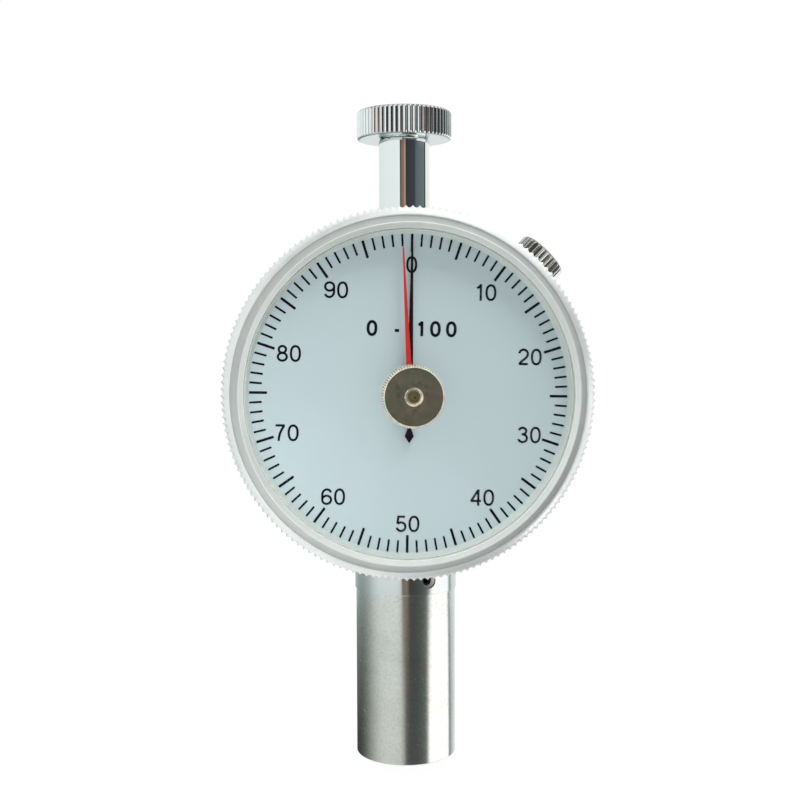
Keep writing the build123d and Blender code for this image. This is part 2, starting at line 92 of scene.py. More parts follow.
# Segments round a turned piece
LARGE_ROUND, FOOT_ROUND, STEM_ROUND, BOSS_ROUND, SMALL_ROUND, SCREW_ROUND = 256, 192, 160, 96, 64, 40

# Corners of the case, in degrees
CORNERS = (45, 135, 225, 315)

# Presser foot and neck
FOOT_RADIUS, FOOT_TOP = outer_radius("presser_foot"), span("presser_foot", "z")[1]
FOOT_BORE, FOOT_HOLE, FOOT_FLOOR = 6.0, 1.5, 3.0
NECK_RADIUS = FOOT_RADIUS + 0.2
NECK_LOW, NECK_HIGH = FOOT_TOP + 0.02, 34.7
NECK_BOSS_RADIUS, NECK_BOSS_HIGH = 8.5, 38.3

# Grub screw in the neck
GRUB_ANGLE, GRUB_Z = math.radians(23.0), 32.8
GRUB_RADIUS, GRUB_SOCKET, GRUB_HOLE, GRUB_ROUND = 1.17, 0.62, 1.2, 48

# Case and back cover
CASE_RADIUS, CASE_BORE = outer_radius("case_body"), 27.6
COVER_LOW, COVER_HIGH = span("back_cover", "y")
CASE_HALF_DEPTH = COVER_LOW
COVER_EDGE, COVER_DISC_TURN = 0.75, 0.01
GROOVE_INNER, GROOVE_OUTER, GROOVE_DEPTH = 26.25, 26.9, 0.15
SCREW_CIRCLE = 22.6
SLOT_SIZE, SLOT_TURNS = (5.0, 0.8, 0.55), (20, 75, -35, 50)
LUG_SIZE, LUG_PLACE = (7.4, 4.0, 6.0), (24.5, 1.0, 0)

# Upper stem and knob
STEM_RADIUS, STEM_LOW = outer_radius("upper_stem"), span("case_body", "z")[1]
THREAD_LOW, STEM_HIGH = span("upper_stem", "z")
THREAD_RADIUS, STUD_RADIUS, STUD_BORE, STEM_BOSS_LOW = 2.98, 1.95, 2.0, 93.9
KNOB_RADIUS, KNOB_LOW = outer_radius("top_knob"), STEM_HIGH + 0.05
KNOB_TEETH, KNOB_TOOTH_STEPS, KNOB_KNURL = 62, 10, 0.22
STUD_LOW, KNOB_HIGH = span("top_knob", "z")

# Bezel clamp
CLAMP_BASE = Vector([in_mm(v) for v in JOINTS["clamp_turn"]["pos_m"]])
CLAMP_AXIS = Vector(JOINTS["clamp_turn"]["axis"]).normalized()
CLAMP_ZERO = Vector((0, 1, 0))
CLAMP_BOSS_LOW, CLAMP_BOSS_HIGH = 28.2, 31.0
THUMB_RADIUS, THUMB_LOW, THUMB_HIGH = 4.6, 31.3, 35.0
THUMB_TEETH, THUMB_TOOTH_STEPS, THUMB_KNURL = 28, 10, 0.36
THUMB_THREAD_RADIUS, THUMB_THREAD_LOW = 1.45, 29.14

# Bezel, crystal and dial; the dial's zero stands a little clockwise from upright
DIAL_Z = in_mm(JOINTS["bezel_turn"]["pos_m"][2])
SEAT = Vector((0, 0, DIAL_Z))
DIAL_TURN = 1.1
DIAL_REAR, DIAL_FRONT = depths("dial")
BEZEL_RADIUS, BEZEL_REAR = outer_radius("bezel"), depths("bezel")[0]
BEZEL_TEETH, BEZEL_TOOTH_STEPS, BEZEL_KNURL = 170, 6, 0.42
TUBE_RADIUS, TUBE_BORE, FLANGE_REAR = 27.54, 26.34, 9.3
PANE_RADIUS, PANE_HOLE = outer_radius("crystal"), 1.01
PANE_REAR, PANE_FRONT = depths("crystal")
RECESS_RADIUS, BEAD_RADIUS = 28.29, 29.29
BAND_RADIUS, BAND_FRONT = 30.52, 12.97

# Reset knob
RESET_RADIUS = outer_radius("reset_knob")
RESET_TEETH, RESET_TOOTH_STEPS, RESET_KNURL = 72, 8, 0.17
SHAFT_REAR, RESET_FRONT = depths("reset_knob")
RESET_REAR, SHAFT_RADIUS, RESET_SHARP_ANGLE = PANE_FRONT + 0.9, 0.98, 25

# Springs
COIL_LOW, COIL_HIGH, COIL_RADIUS, COIL_WIRE = 5.3, 18.05, 4.2, 0.58
COIL_TURNS, COIL_STEPS, COIL_SIDES, COIL_END_RISE = 7, 48, 12, 0.045
HAIR_INNER, HAIR_PITCH, HAIR_DEPTH = 0.71, 0.8, -1.25
HAIR_TURNS, HAIR_STEPS, HAIR_HALF_THICKNESS, HAIR_HALF_HEIGHT = 3, 64, 0.06, 0.35


# Mesh helpers

def to_object(name, bm, sharp=SHARP_ANGLE):
    """A new object from a bmesh in millimetres, smooth except at edges sharper than an angle."""
    bmesh.ops.scale(bm, vec=(MM, MM, MM), verts=bm.verts)
    bmesh.ops.recalc_face_normals(bm, faces=bm.faces)
    mesh = bpy.data.meshes.new(name)
    bm.to_mesh(mesh)
    bm.free()
    mesh.shade_smooth()
    mesh.set_sharp_from_angle(angle=math.radians(sharp))
    obj = bpy.data.objects.new(name, mesh)
    bpy.context.scene.collection.objects.link(obj)
    return obj


def scallop(t):
    """Depth share of a hollow cut with a round tool, with sharp crests between the hollows."""
    return math.sin(math.pi * t)


def vee(t):
    """Depth share of a straight V knurl with slightly worn crests and roots."""
    wave = 1 - abs(2 * t - 1)
    return min(1.0, max(0.0, (wave - KNURL_WEAR) / (1 - 2 * KNURL_WEAR)))


def held_straight(profile, loop):
    """The profile with extra points by the ends of its long lines, so that a small chamfer beside
    a wall doesn't bend the wall's shading. Each point gets its knurl share."""
    points = [(*p, 0)[:3] for p in profile]
    made = []
    for i, a in enumerate(points):
        made.append(a)
        if i + 1 == len(points) and not loop:
            break
        b = points[(i + 1) % len(points)]
        length = math.hypot(b[0] - a[0], b[1] - a[1])
        if length > LONG_LINE:
            for share in (LINE_MARGIN / length, 1 - LINE_MARGIN / length):
                made.append(tuple(u + (v - u) * share for u, v in zip(a, b)))
    return made


def turned(bm, profile, base, axis, zero, segments, loop=False, teeth=0, depth=0.0, cut=vee):
    """Adds a turned form, with its knurl starting at the direction zero."""
    side = axis.cross(zero)
    rows = []
    for radius, height, share in held_straight(profile, loop):
        centre = base + axis * height
        if radius == 0:
            rows.append([bm.verts.new(centre)])
            continue
        row = []
        for i in range(segments):
            angle = 2 * math.pi * i / segments
            r = radius - (depth * share * cut(i * teeth / segments % 1) if share else 0)
            row.append(bm.verts.new(centre + (zero * math.cos(angle) + side * math.sin(angle)) * r))
        rows.append(row)
    for low, high in zip(rows, rows[1:] + (rows[:1] if loop else [])):
        for i in range(segments):
            j = (i + 1) % segments
            ring = [low[i % len(low)], low[j % len(low)], high[j % len(high)], high[i % len(high)]]
            bm.faces.new(list(dict.fromkeys(ring)))


def turned_object(name, profile, base, axis, zero, segments, sharp=SHARP_ANGLE, **options):
    """A new object of one turned form."""
    bm = bmesh.new()
    turned(bm, profile, base, axis, zero, segments, **options)
    return to_object(name, bm, sharp)


def collar(inner, outer, low, high, edge):
    """Profile of a tube with a chamfer round its far end."""
    return [(inner, low), (outer, low), (outer, high - edge), (outer - edge, high), (inner, high)]


def round_profile(centre, height, radius, start, end, steps):
    """Points of an arc in a profile, from one angle to another."""
    points = []
    for i in range(steps + 1):
        angle = math.radians(start + (end - start) * i / steps)
        points.append((centre + radius * math.cos(angle), height + radius * math.sin(angle)))
    return points


def block(bm, size, place, turn, centre):
    """Adds a block at a place from a centre, turned in degrees about the dial's direction."""
    verts = bmesh.ops.create_cube(bm, size=1)["verts"]
    bmesh.ops.scale(bm, vec=size, verts=verts)
    bmesh.ops.translate(bm, vec=place, verts=verts)
    bmesh.ops.rotate(bm, cent=(0, 0, 0), matrix=Matrix.Rotation(math.radians(turn), 3, "Y"), verts=verts)
    bmesh.ops.translate(bm, vec=centre, verts=verts)


def cut_away(obj, bm):
    """Takes the form in a bmesh, in millimetres, out of an object."""
    tool = to_object("cutter", bm)
    step = obj.modifiers.new("cut", "BOOLEAN")
    step.operation, step.object, step.solver = "DIFFERENCE", tool, "EXACT"
    made = bpy.data.meshes.new_from_object(obj.evaluated_get(bpy.context.evaluated_depsgraph_get()))
    obj.modifiers.clear()
    old, obj.data = obj.data, made
    made.name = old.name
    bpy.data.meshes.remove(old)
    bpy.data.objects.remove(tool)
    made.shade_smooth()
    made.set_sharp_from_angle(angle=math.radians(SHARP_ANGLE))


def swept(name, points, outline):
    """A strip or wire along points, each with its own two directions for the outline."""
    bm = bmesh.new()
    rows = [[bm.verts.new(p + u * a + v * b) for a, b in outline] for p, u, v in points]
    count = len(outline)
    for low, high in zip(rows, rows[1:]):
        for i in range(count):
            bm.faces.new((low[i], low[(i + 1) % count], high[(i + 1) % count], high[i]))
    bm.faces.new(rows[0][::-1])
    bm.faces.new(rows[-1])
    return to_object(name, bm)


def on_dial(x, y, depth):
    """A point seen from the front at x, y from the dial's centre."""
    return Vector((x, -depth, DIAL_Z + y))


# Node helpers: sockets of the colour mix node, the middle of a noise field, the soft edge of a
# nick, and the usual depth of a bump in metres

MIX_SHARE, MIX_A, MIX_B, MIX_RESULT = 0, 6, 7, 2
NOISE_LOW, NOISE_HIGH, NICK_EDGE, BUMP_DEPTH = 0.25, 0.75, 0.04, 0.00002


def near(rgb, share):
    """Three colour stops round a colour, for wear and slight differences in a finish."""
    return [(0.3, [c * (1 - share) for c in rgb]), (0.5, rgb), (0.7, [min(1, c * (1 + share)) for c in rgb])]


class Nodes:
    """Adds nodes to a node tree."""

    def __init__(self, tree):
        self.tree = tree

    def node(self, kind, links=None, inputs=None, **settings):
        made = self.tree.nodes.new(kind)
        for key, value in settings.items():
            setattr(made, key, value)
        for key, value in (inputs or {}).items():
            made.inputs[key].default_value = value
        for key, source in (links or {}).items():
            self.tree.links.new(source, made.inputs[key])
        return made

    def math(self, operation, *values):
        """One operation on sockets or plain numbers."""
        numbers = {i: v for i, v in enumerate(values) if isinstance(v, (int, float))}
        sockets = {i: v for i, v in enumerate(values) if i not in numbers}
        return self.node("ShaderNodeMath", sockets, numbers, operation=operation).outputs[0]

    def ranged(self, value, low, high, to_low=0.0, to_high=1.0):
        """A value brought from one range to another."""
        ends = {"From Min": low, "From Max": high, "To Min": to_low, "To Max": to_high}
        return self.node("ShaderNodeMapRange", {"Value": value}, ends).outputs["Result"]

    def ramp(self, field, stops):
        """Colours over a field from 0 to 1. A single number in a stop is a grey."""
        made = self.node("ShaderNodeValToRGB", {"Fac": field})
        while len(made.color_ramp.elements) < len(stops):
            made.color_ramp.elements.new(0.5)
        for element, (position, colour) in zip(made.color_ramp.elements, stops):
            rgb = (colour,) * 3 if isinstance(colour, (int, float)) else colour
            element.position, element.color = position, (*rgb, 1)
        return made.outputs["Color"]

    def ramp_over(self, value, low, high, stops, unit=1.0):
        """Colours over a range of a value, which is in a unit of its own."""
        shares = [((place - low) / (high - low), colour) for place, colour in stops]
        return self.ramp(self.ranged(value, low * unit, high * unit), shares)

    def mix(self, share, a, b, blend="MIX"):
        """Two colours mixed by a socket, or wholly where the share is None."""
        links = {MIX_A: a, MIX_B: b}
        if share is not None:
            links[MIX_SHARE] = share
        made = self.node("ShaderNodeMix", links, {MIX_SHARE: 1.0}, data_type="RGBA", blend_type=blend)
        return made.outputs[MIX_RESULT]


class Paint(Nodes):
    """A node material with one principled shader, in the object's own coordinates."""

    def __init__(self, name, **constants):
        self.material = bpy.data.materials.new(name)
        self.material.use_nodes = True
        super().__init__(self.material.node_tree)
        self.shader = self.tree.nodes["Principled BSDF"]
        for socket, value in constants.items():
            self.shader.inputs[socket.replace("_", " ")].default_value = value
        self.place = self.node("ShaderNodeTexCoord").outputs["Object"]

    def set(self, socket, source):
        self.tree.links.new(source, self.shader.inputs[socket])

    def so_far(self, socket):
        """What feeds one of the shader's sockets."""
        return self.shader.inputs[socket].links[0].from_socket

    def noise(self, scale, detail=3.0, stretch=(1, 1, 1), shift=(0, 0, 0), roughness=0.5):
        mapped = self.node("ShaderNodeMapping", {"Vector": self.place}, {"Location": shift, "Scale": stretch})
        return self.node("ShaderNodeTexNoise", {"Vector": mapped.outputs["Vector"]},
                         {"Scale": scale, "Detail": detail, "Roughness": roughness}).outputs["Fac"]

    def rings(self, scale, distortion):
        """Turning marks round the dial's axis."""
        mapped = self.node("ShaderNodeMapping", {"Vector": self.place}, {"Location": (0, 0, -DIAL_Z * MM)})
        return self.node("ShaderNodeTexWave", {"Vector": mapped.outputs["Vector"]},
                         {"Scale": scale, "Distortion": distortion, "Detail": 2.0, "Detail Scale": 1.0},
                         wave_type="RINGS", rings_direction="Y").outputs["Fac"]

    def from_base(self, base):
        """The place measured from a point."""
        moved = self.node("ShaderNodeVectorMath", {0: self.place}, {1: base * MM}, operation="SUBTRACT")
        return moved.outputs[0]

    def away(self, base, axis):
        """Distance from an axis."""
        across = self.node("ShaderNodeVectorMath", {0: self.from_base(base)}, {1: axis},
                           operation="CROSS_PRODUCT").outputs[0]
        return self.node("ShaderNodeVectorMath", {0: across}, operation="LENGTH").outputs["Value"]

    def by_radius(self, base, axis, stops):
        """Colours by the distance from an axis in millimetres."""
        return self.ramp_over(self.away(base, axis), stops[0][0], stops[-1][0], stops, MM)

    def colour(self, field, stops):
        self.set("Base Color", self.ramp(field, stops))

    def banded(self, base, axis, stops, field, share):
        """Colours by the distance from an axis, with slight differences in the finish."""
        worn = self.ramp(field, near((1 - share,) * 3, share))
        self.set("Base Color", self.mix(None, self.by_radius(base, axis, stops), worn, "MULTIPLY"))

    def shine(self, base, axis, stops):
        """How far the finish is bare metal, by the distance from an axis."""
        self.set("Metallic", self.by_radius(base, axis, stops))

    def tinted(self, tint, share=None):
        """The colour so far times another one."""
        self.set("Base Color", self.mix(share, self.so_far("Base Color"), tint, "MULTIPLY"))

    def knurled(self, base, inner, outer, teeth, dark):
        """Painted shade in the hollows of a knurl round the dial's axis, outside a radius."""
        parts = self.node("ShaderNodeSeparateXYZ", {0: self.from_base(base)}).outputs
        angle = self.math("ARCTAN2", parts["Z"], parts["X"])
        wave = self.math("PINGPONG", self.math("MULTIPLY", angle, teeth / math.pi), 1.0)
        edge = self.ranged(self.away(base, FRONT), inner * MM, outer * MM)
        self.tinted(self.ramp(wave, [(0.45, 1.0), (0.70, dark)]), edge)

    def rough(self, field, low, high):
        self.set("Roughness", self.ranged(field, NOISE_LOW, NOISE_HIGH, low, high))

    def nicked(self, field, start, amount):
        """Small dull marks where a field is high, over the roughness so far."""
        marks = self.ranged(field, start, start + NICK_EDGE, 0.0, amount)
        self.set("Roughness", self.math("ADD", self.so_far("Roughness"), marks))

    def bump(self, field, strength, distance=BUMP_DEPTH):
        bump = self.node("ShaderNodeBump", {"Height": field}, {"Strength": strength, "Distance": distance})
        self.set("Normal", bump.outputs["Normal"])

    def grain(self, axis, amount, turn):
        """Stretched highlights of a surface that was turned or brushed round an axis."""
        tangent = self.node("ShaderNodeTangent", direction_type="RADIAL", axis=axis)
        self.set("Tangent", tangent.outputs["Tangent"])
        self.shader.inputs["Anisotropic"].default_value = amount
        self.shader.inputs["Anisotropic Rotation"].default_value = turn


# Plain metals and lacquers

def metal(name, rgb, low, high, scale, spread, bump):
    """Bare metal between two roughnesses, with marks of a scale and a spread of its colour."""
    paint = Paint(name, Metallic=1.0)
    paint.colour(paint.noise(scale * 0.25), near(rgb, spread))
    paint.rough(paint.noise(scale), low, high)
    paint.bump(paint.noise(scale * 3), bump)
    return paint


def lacquer(name, rgb, low, high, scale=1500, spread=0.05, bump=0.03, gloss=0.5):
    """Paint or ink between two roughnesses."""
    paint = Paint(name, Metallic=0.0, Specular_IOR_Level=gloss)
    paint.colour(paint.noise(scale * 0.2), near(rgb, spread))
    paint.rough(paint.noise(scale), low, high)
    paint.bump(paint.noise(scale * 2), bump)
    return paint


chrome = metal("polished_chrome", (0.80, 0.845, 0.84), 0.03, 0.07, 300, 0.015, 0.004)
case_chrome = metal("case_chrome", (0.84, 0.87, 0.865), 0.10, 0.18, 500, 0.02, 0.01)
screw_steel = metal("screw_steel", (0.52, 0.52, 0.50), 0.25, 0.40, 2500, 0.08, 0.05)
works_steel = metal("ground_steel", (0.50, 0.50, 0.51), 0.18, 0.30, 1500, 0.05, 0.03)
spring_steel = metal("spring_steel", (0.20, 0.21, 0.25), 0.25, 0.40, 1500, 0.10, 0.03)
brass = metal("milled_brass", (0.60, 0.43, 0.16), 0.22, 0.36, 1200, 0.06, 0.04)
shaft_brass = metal("shaft_brass", (0.50, 0.44, 0.28), 0.25, 0.35, 1200, 0.05, 0.02)
grub_steel = metal("blued_screw", (0.06, 0.07, 0.11), 0.25, 0.45, 3000, 0.15, 0.05)
pale_brass = lacquer("worn_brass", (0.46, 0.44, 0.38), 0.25, 0.40, scale=2500, spread=0.12, bump=0.05)
cream_paint = lacquer("spacer_enamel", (0.56, 0.608, 0.582), 0.45, 0.60, spread=0.03)
print_ink = lacquer("printing_ink", (0.006, 0.006, 0.010), 0.50, 0.65, spread=0.20, gloss=0.08)
hand_black = lacquer("black_lacquer", (0.010, 0.006, 0.010), 0.30, 0.45, spread=0.25, gloss=0.15)
hand_red = lacquer("red_lacquer", (0.56, 0.022, 0.018), 0.30, 0.45, spread=0.10)

# Satin plating of the bezel: a bright bead and flange, with a darker band between them that is
# painted shade in the groove; the bead's inner wall is painted paler, a painted light on its shade
satin = Paint("satin_chrome")
satin.banded(SEAT, FRONT, [
    (26.0, (0.74, 0.75, 0.72)), (28.31, (0.84, 0.84, 0.79)), (28.36, (0.82, 0.82, 0.77)),
    (28.42, (0.68, 0.71, 0.69)), (29.20, (0.70, 0.73, 0.71)), (29.30, (0.57, 0.595, 0.58)),
    (30.44, (0.60, 0.625, 0.61)), (30.60, (0.84, 0.86, 0.85)), (33.0, (0.85, 0.87, 0.86)),
], satin.noise(400), 0.03)
satin.rough(satin.noise(1800), 0.28, 0.36)
satin.bump(satin.noise(5000), 0.03)
satin.shine(SEAT, FRONT, [(28.9, 0.30), (29.20, 0.15), (29.30, 0.15), (30.66, 0.55)])

# Knurled chrome, with painted shade in the hollows and a painted highlight on the crests
top_chrome = Paint("knurled_chrome", Metallic=1.0)
top_chrome.banded(Vector(), UP, [
    (0, (0.78, 0.81, 0.81)), (7.7, (0.80, 0.83, 0.83)), (KNOB_RADIUS - 0.22, (0.42, 0.43, 0.44)),
    (KNOB_RADIUS - 0.12, (0.88, 0.91, 0.91)), (KNOB_RADIUS, (0.94, 0.96, 0.96)),
], top_chrome.noise(700), 0.04)
top_chrome.rough(top_chrome.noise(900), 0.06, 0.12)
top_chrome.bump(top_chrome.noise(2700), 0.02)

# The clamp's thumb screw as well: painted shade in the knurl's hollows, a painted highlight on its crests
thumb_chrome = Paint("thumb_chrome", Metallic=1.0)
thumb_chrome.banded(CLAMP_BASE, CLAMP_AXIS, [
    (0, (0.72, 0.73, 0.71)), (3.9, (0.74, 0.75, 0.73)), (4.24, (0.25, 0.24, 0.21)),
    (4.40, (0.52, 0.51, 0.47)), (4.54, (0.86, 0.87, 0.84)), (THUMB_RADIUS, (0.90, 0.90, 0.88)),
], thumb_chrome.noise(900), 0.08)
thumb_chrome.rough(thumb_chrome.noise(900), 0.20, 0.30)
thumb_chrome.bump(thumb_chrome.noise(2700), 0.03)

# Brushed steel of the foot, with fine lines round it, stains, grain and a few nicks
foot_steel = Paint("brushed_steel", Metallic=1.0)
lines = foot_steel.noise(60, detail=6.0, stretch=(1, 1, 140), roughness=0.7)
stains = foot_steel.noise(140, detail=5.0, roughness=0.6)
speckle = foot_steel.noise(1900, detail=3.0, roughness=0.65)
nicks = foot_steel.noise(2100, detail=2.0, stretch=(1, 1, 0.6), shift=(0.3, 0.1, 0))
foot_steel.colour(stains, [(0.3, (0.84, 0.84, 0.81)), (0.5, (0.92, 0.92, 0.895)), (0.7, (0.95, 0.95, 0.93))])
foot_steel.tinted(foot_steel.ramp(speckle, near((0.95, 0.95, 0.95), 0.10)))
foot_steel.rough(lines, 0.15, 0.21)
foot_steel.nicked(nicks, 0.69, 0.12)
foot_steel.bump(lines, 0.03, 0.00003)
foot_steel.grain("Z", 0.4, 0.25)

# Turned aluminium of the reset knob, with a painted highlight on its rim, tarnish and painted shade in the
# knurl
reset_metal = Paint("turned_aluminium")
marks = reset_metal.rings(2600, 3.0)
tarnish = reset_metal.noise(330)
mottling = reset_metal.noise(1100, detail=5.0, roughness=0.7)
reset_metal.banded(SEAT, FRONT, [
    (0, (0.46, 0.48, 0.38)), (0.9, (0.38, 0.40, 0.31)), (1.05, (0.84, 0.84, 0.72)),
    (1.55, (0.84, 0.84, 0.72)), (1.62, (0.385, 0.385, 0.30)), (4.78, (0.375, 0.375, 0.29)),
    (4.86, (0.84, 0.84, 0.73)), (RESET_RADIUS, (0.86, 0.86, 0.75)),
], marks, 0.06)
reset_metal.tinted(reset_metal.ramp(tarnish, [(0.36, (1.15, 1.03, 0.98)), (0.64, (0.88, 0.94, 0.90))]))
reset_metal.tinted(reset_metal.ramp(mottling, near((1.02, 0.98, 0.95), 0.45)))
# Painted shade in the hollows of the knurl
reset_metal.knurled(SEAT, 4.95, 5.05, RESET_TEETH, (0.12, 0.12, 0.09))
reset_metal.shine(SEAT, FRONT, [(4.80, 0.85), (4.88, 0.30)])
reset_metal.rough(reset_metal.noise(900), 0.14, 0.22)
reset_metal.bump(marks, 0.05)
reset_metal.grain("Y", 0.5, 0.0)

dial_paint = Paint("dial_enamel", Metallic=0.0)
dial_paint.colour(dial_paint.noise(70, detail=5.0), near((0.475, 0.572, 0.597), 0.02))
dial_paint.rough(dial_paint.noise(900), 0.38, 0.50)
dial_paint.bump(dial_paint.noise(4000), 0.04)

window = Paint("clear_window", Metallic=0.0, Alpha=0.06, IOR=1.49, Transmission_Weight=1.0)
window.colour(window.noise(120), near((0.90, 0.95, 0.95), 0.02))
window.rough(window.noise(400), 0.03, 0.07)


def dress(obj, paint, body, slot, *nodes):
    """Material, body and the nodes that a new piece stands for. The slot is not used."""
    obj.data.materials.clear()
    obj.data.materials.append(paint.material)
    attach(obj, body)
    if nodes:
        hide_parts(*nodes)


# Presser foot

foot = turned_object("foot_sleeve", [
    (FOOT_HOLE, 0.25), (FOOT_HOLE + 0.25, 0), (FOOT_RADIUS - 0.15, 0), (FOOT_RADIUS, 0.15),
    (FOOT_RADIUS, FOOT_TOP - 0.05), (FOOT_RADIUS - 0.04, FOOT_TOP), (FOOT_BORE, FOOT_TOP),
    (FOOT_BORE, FOOT_FLOOR), (FOOT_HOLE, FOOT_FLOOR),
], Vector(), UP, RIGHT, FOOT_ROUND, loop=True)
dress(foot, foot_steel, "housing", "foot_steel", "presser_foot")

# Case: a drum, the neck, the bosses of stem and clamp screw, and the lugs of the movement

bm = bmesh.new()
turned(bm, [
    (CASE_BORE, -CASE_HALF_DEPTH), (CASE_RADIUS - 0.2, -CASE_HALF_DEPTH),
    (CASE_RADIUS, 0.2 - CASE_HALF_DEPTH), (CASE_RADIUS, CASE_HALF_DEPTH - 0.25),
    (CASE_RADIUS - 0.25, CASE_HALF_DEPTH), (CASE_BORE, CASE_HALF_DEPTH),
], SEAT, FRONT, RIGHT, LARGE_ROUND, loop=True)
turned(bm, [
    (FOOT_BORE, NECK_LOW), (NECK_RADIUS - 0.04, NECK_LOW), (NECK_RADIUS, NECK_LOW + 0.04),
    (NECK_RADIUS, NECK_HIGH - 0.2), (NECK_RADIUS - 0.2, NECK_HIGH), (NECK_BOSS_RADIUS, NECK_HIGH),
    (NECK_BOSS_RADIUS, NECK_BOSS_HIGH), (FOOT_BORE, NECK_BOSS_HIGH),
], Vector(), UP, RIGHT, FOOT_ROUND, loop=True)
turned(bm, collar(3.0, 6.0, STEM_BOSS_LOW, STEM_LOW, 0.25), Vector(), UP, RIGHT, BOSS_ROUND, loop=True)
turned(bm, collar(1.5, 3.5, CLAMP_BOSS_LOW, CLAMP_BOSS_HIGH, 0.2),
       CLAMP_BASE, CLAMP_AXIS, CLAMP_ZERO, SMALL_ROUND, loop=True)
for turn in CORNERS:
    block(bm, LUG_SIZE, LUG_PLACE, turn, SEAT)
case = to_object("case_shell", bm)

# Grub screw in its bush in the neck, right of the middle

grub_axis = Vector((math.sin(GRUB_ANGLE), -math.cos(GRUB_ANGLE), 0))
grub_base = Vector((0, 0, GRUB_Z))
bm = bmesh.new()
turned(bm, [
    (0, 6.2), (GRUB_HOLE, 6.2), (GRUB_HOLE, 8.9), (1.42, 9.7), (0, 9.7),
], grub_base, grub_axis, UP, SCREW_ROUND)
cut_away(case, bm)
dress(case, case_chrome, "housing", "case_chrome", "case_body")

grub = turned_object("neck_grub_screw", [
    (0, 6.6), (GRUB_SOCKET, 6.6), (GRUB_SOCKET, 7.85), (0.68, 7.9), (1.02, 7.9), (GRUB_RADIUS, 7.75),
    (GRUB_RADIUS, 6.5), (0, 6.5),
], grub_base, grub_axis, UP, GRUB_ROUND)
dress(grub, grub_steel, "housing", "screw_steel")
bush = turned_object("neck_grub_bush", [
    (0.95, 7.95), (0.95, 8.40), (1.24, 8.93), (1.19, 8.7), (1.19, 7.95),
], grub_base, grub_axis, UP, GRUB_ROUND, loop=True)
dress(bush, pale_brass, "housing", "screw_steel")

# Back cover with four countersunk screws; its disc is turned a little, so that none of its edges
# runs through the middle of a screw

cover_zero = Vector((math.cos(COVER_DISC_TURN), 0, math.sin(COVER_DISC_TURN)))
cover = turned_object("cover_plate", [
    (0, COVER_LOW), (CASE_RADIUS, COVER_LOW), (CASE_RADIUS, COVER_HIGH - COVER_EDGE),
    (CASE_RADIUS - COVER_EDGE, COVER_HIGH), (GROOVE_OUTER, COVER_HIGH),
    (GROOVE_OUTER - GROOVE_DEPTH, COVER_HIGH - GROOVE_DEPTH),
    (GROOVE_INNER + GROOVE_DEPTH, COVER_HIGH - GROOVE_DEPTH),
    (GROOVE_INNER, COVER_HIGH), (0, COVER_HIGH),
], SEAT, -FRONT, cover_zero, LARGE_ROUND)
screw_places = [Vector((SCREW_CIRCLE * math.cos(a), 0, DIAL_Z + SCREW_CIRCLE * math.sin(a)))
                for a in map(math.radians, CORNERS)]
bm = bmesh.new()
for place in screw_places:
    turned(bm, [(0, 9.6), (1.1, 9.6), (2.15, 10.7), (2.15, 11.5), (0, 11.5)],
           place, -FRONT, RIGHT, SCREW_ROUND)
cut_away(cover, bm)
dress(cover, case_chrome, "housing", "case_chrome", "back_cover")

bm = bmesh.new()
for place in screw_places:
    turned(bm, [(0, 9.65), (1.05, 9.65), (2.05, 10.68), (2.05, 10.86), (1.85, 10.93), (0, 10.95)],
           place, -FRONT, RIGHT, SCREW_ROUND)
screws = to_object("cover_screws", bm)
bm = bmesh.new()
for turn, place in zip(SLOT_TURNS, screw_places):
    block(bm, SLOT_SIZE, (0, 0, 0), turn, place + Vector((0, COVER_HIGH, 0)))
cut_away(screws, bm)
dress(screws, screw_steel, "housing", "screw_steel")

# Upper stem and knob

stem = turned_object("stem_rod", [
    (0, THREAD_LOW), (2.8, THREAD_LOW), (THREAD_RADIUS, THREAD_LOW + 0.2),
    (THREAD_RADIUS, STEM_LOW), (STEM_RADIUS - 0.1, STEM_LOW), (STEM_RADIUS, STEM_LOW + 0.1),
    (STEM_RADIUS, STEM_HIGH - 0.29), (STEM_RADIUS - 0.11, STEM_HIGH - 0.13), (STEM_RADIUS - 0.19, STEM_HIGH),
    (STUD_BORE, STEM_HIGH), (STUD_BORE, STUD_LOW - 0.05), (0, STUD_LOW - 0.05),
], Vector(), UP, RIGHT, STEM_ROUND)
dress(stem, chrome, "housing", "neck_chrome", "upper_stem")

cap = turned_object("knob_head", [
    (0, STUD_LOW), (STUD_RADIUS - 0.2, STUD_LOW), (STUD_RADIUS, STUD_LOW + 0.2), (STUD_RADIUS, KNOB_LOW),
    (KNOB_RADIUS - 0.7, KNOB_LOW), (KNOB_RADIUS - 0.3, KNOB_LOW + 0.02),
    (KNOB_RADIUS - 0.1, KNOB_LOW + 0.1, 0.5), (KNOB_RADIUS, KNOB_LOW + 0.32, 1),
    (KNOB_RADIUS, KNOB_HIGH - 0.45, 1), (KNOB_RADIUS - 0.14, KNOB_HIGH - 0.18, 0.6),
    (KNOB_RADIUS - 0.42, KNOB_HIGH - 0.04), (KNOB_RADIUS - 0.75, KNOB_HIGH), (0, KNOB_HIGH),
], Vector(), UP, RIGHT, KNOB_TEETH * KNOB_TOOTH_STEPS, teeth=KNOB_TEETH, depth=KNOB_KNURL)
dress(cap, top_chrome, "knob_cap", "knob_chrome", "top_knob")

# Bezel clamp

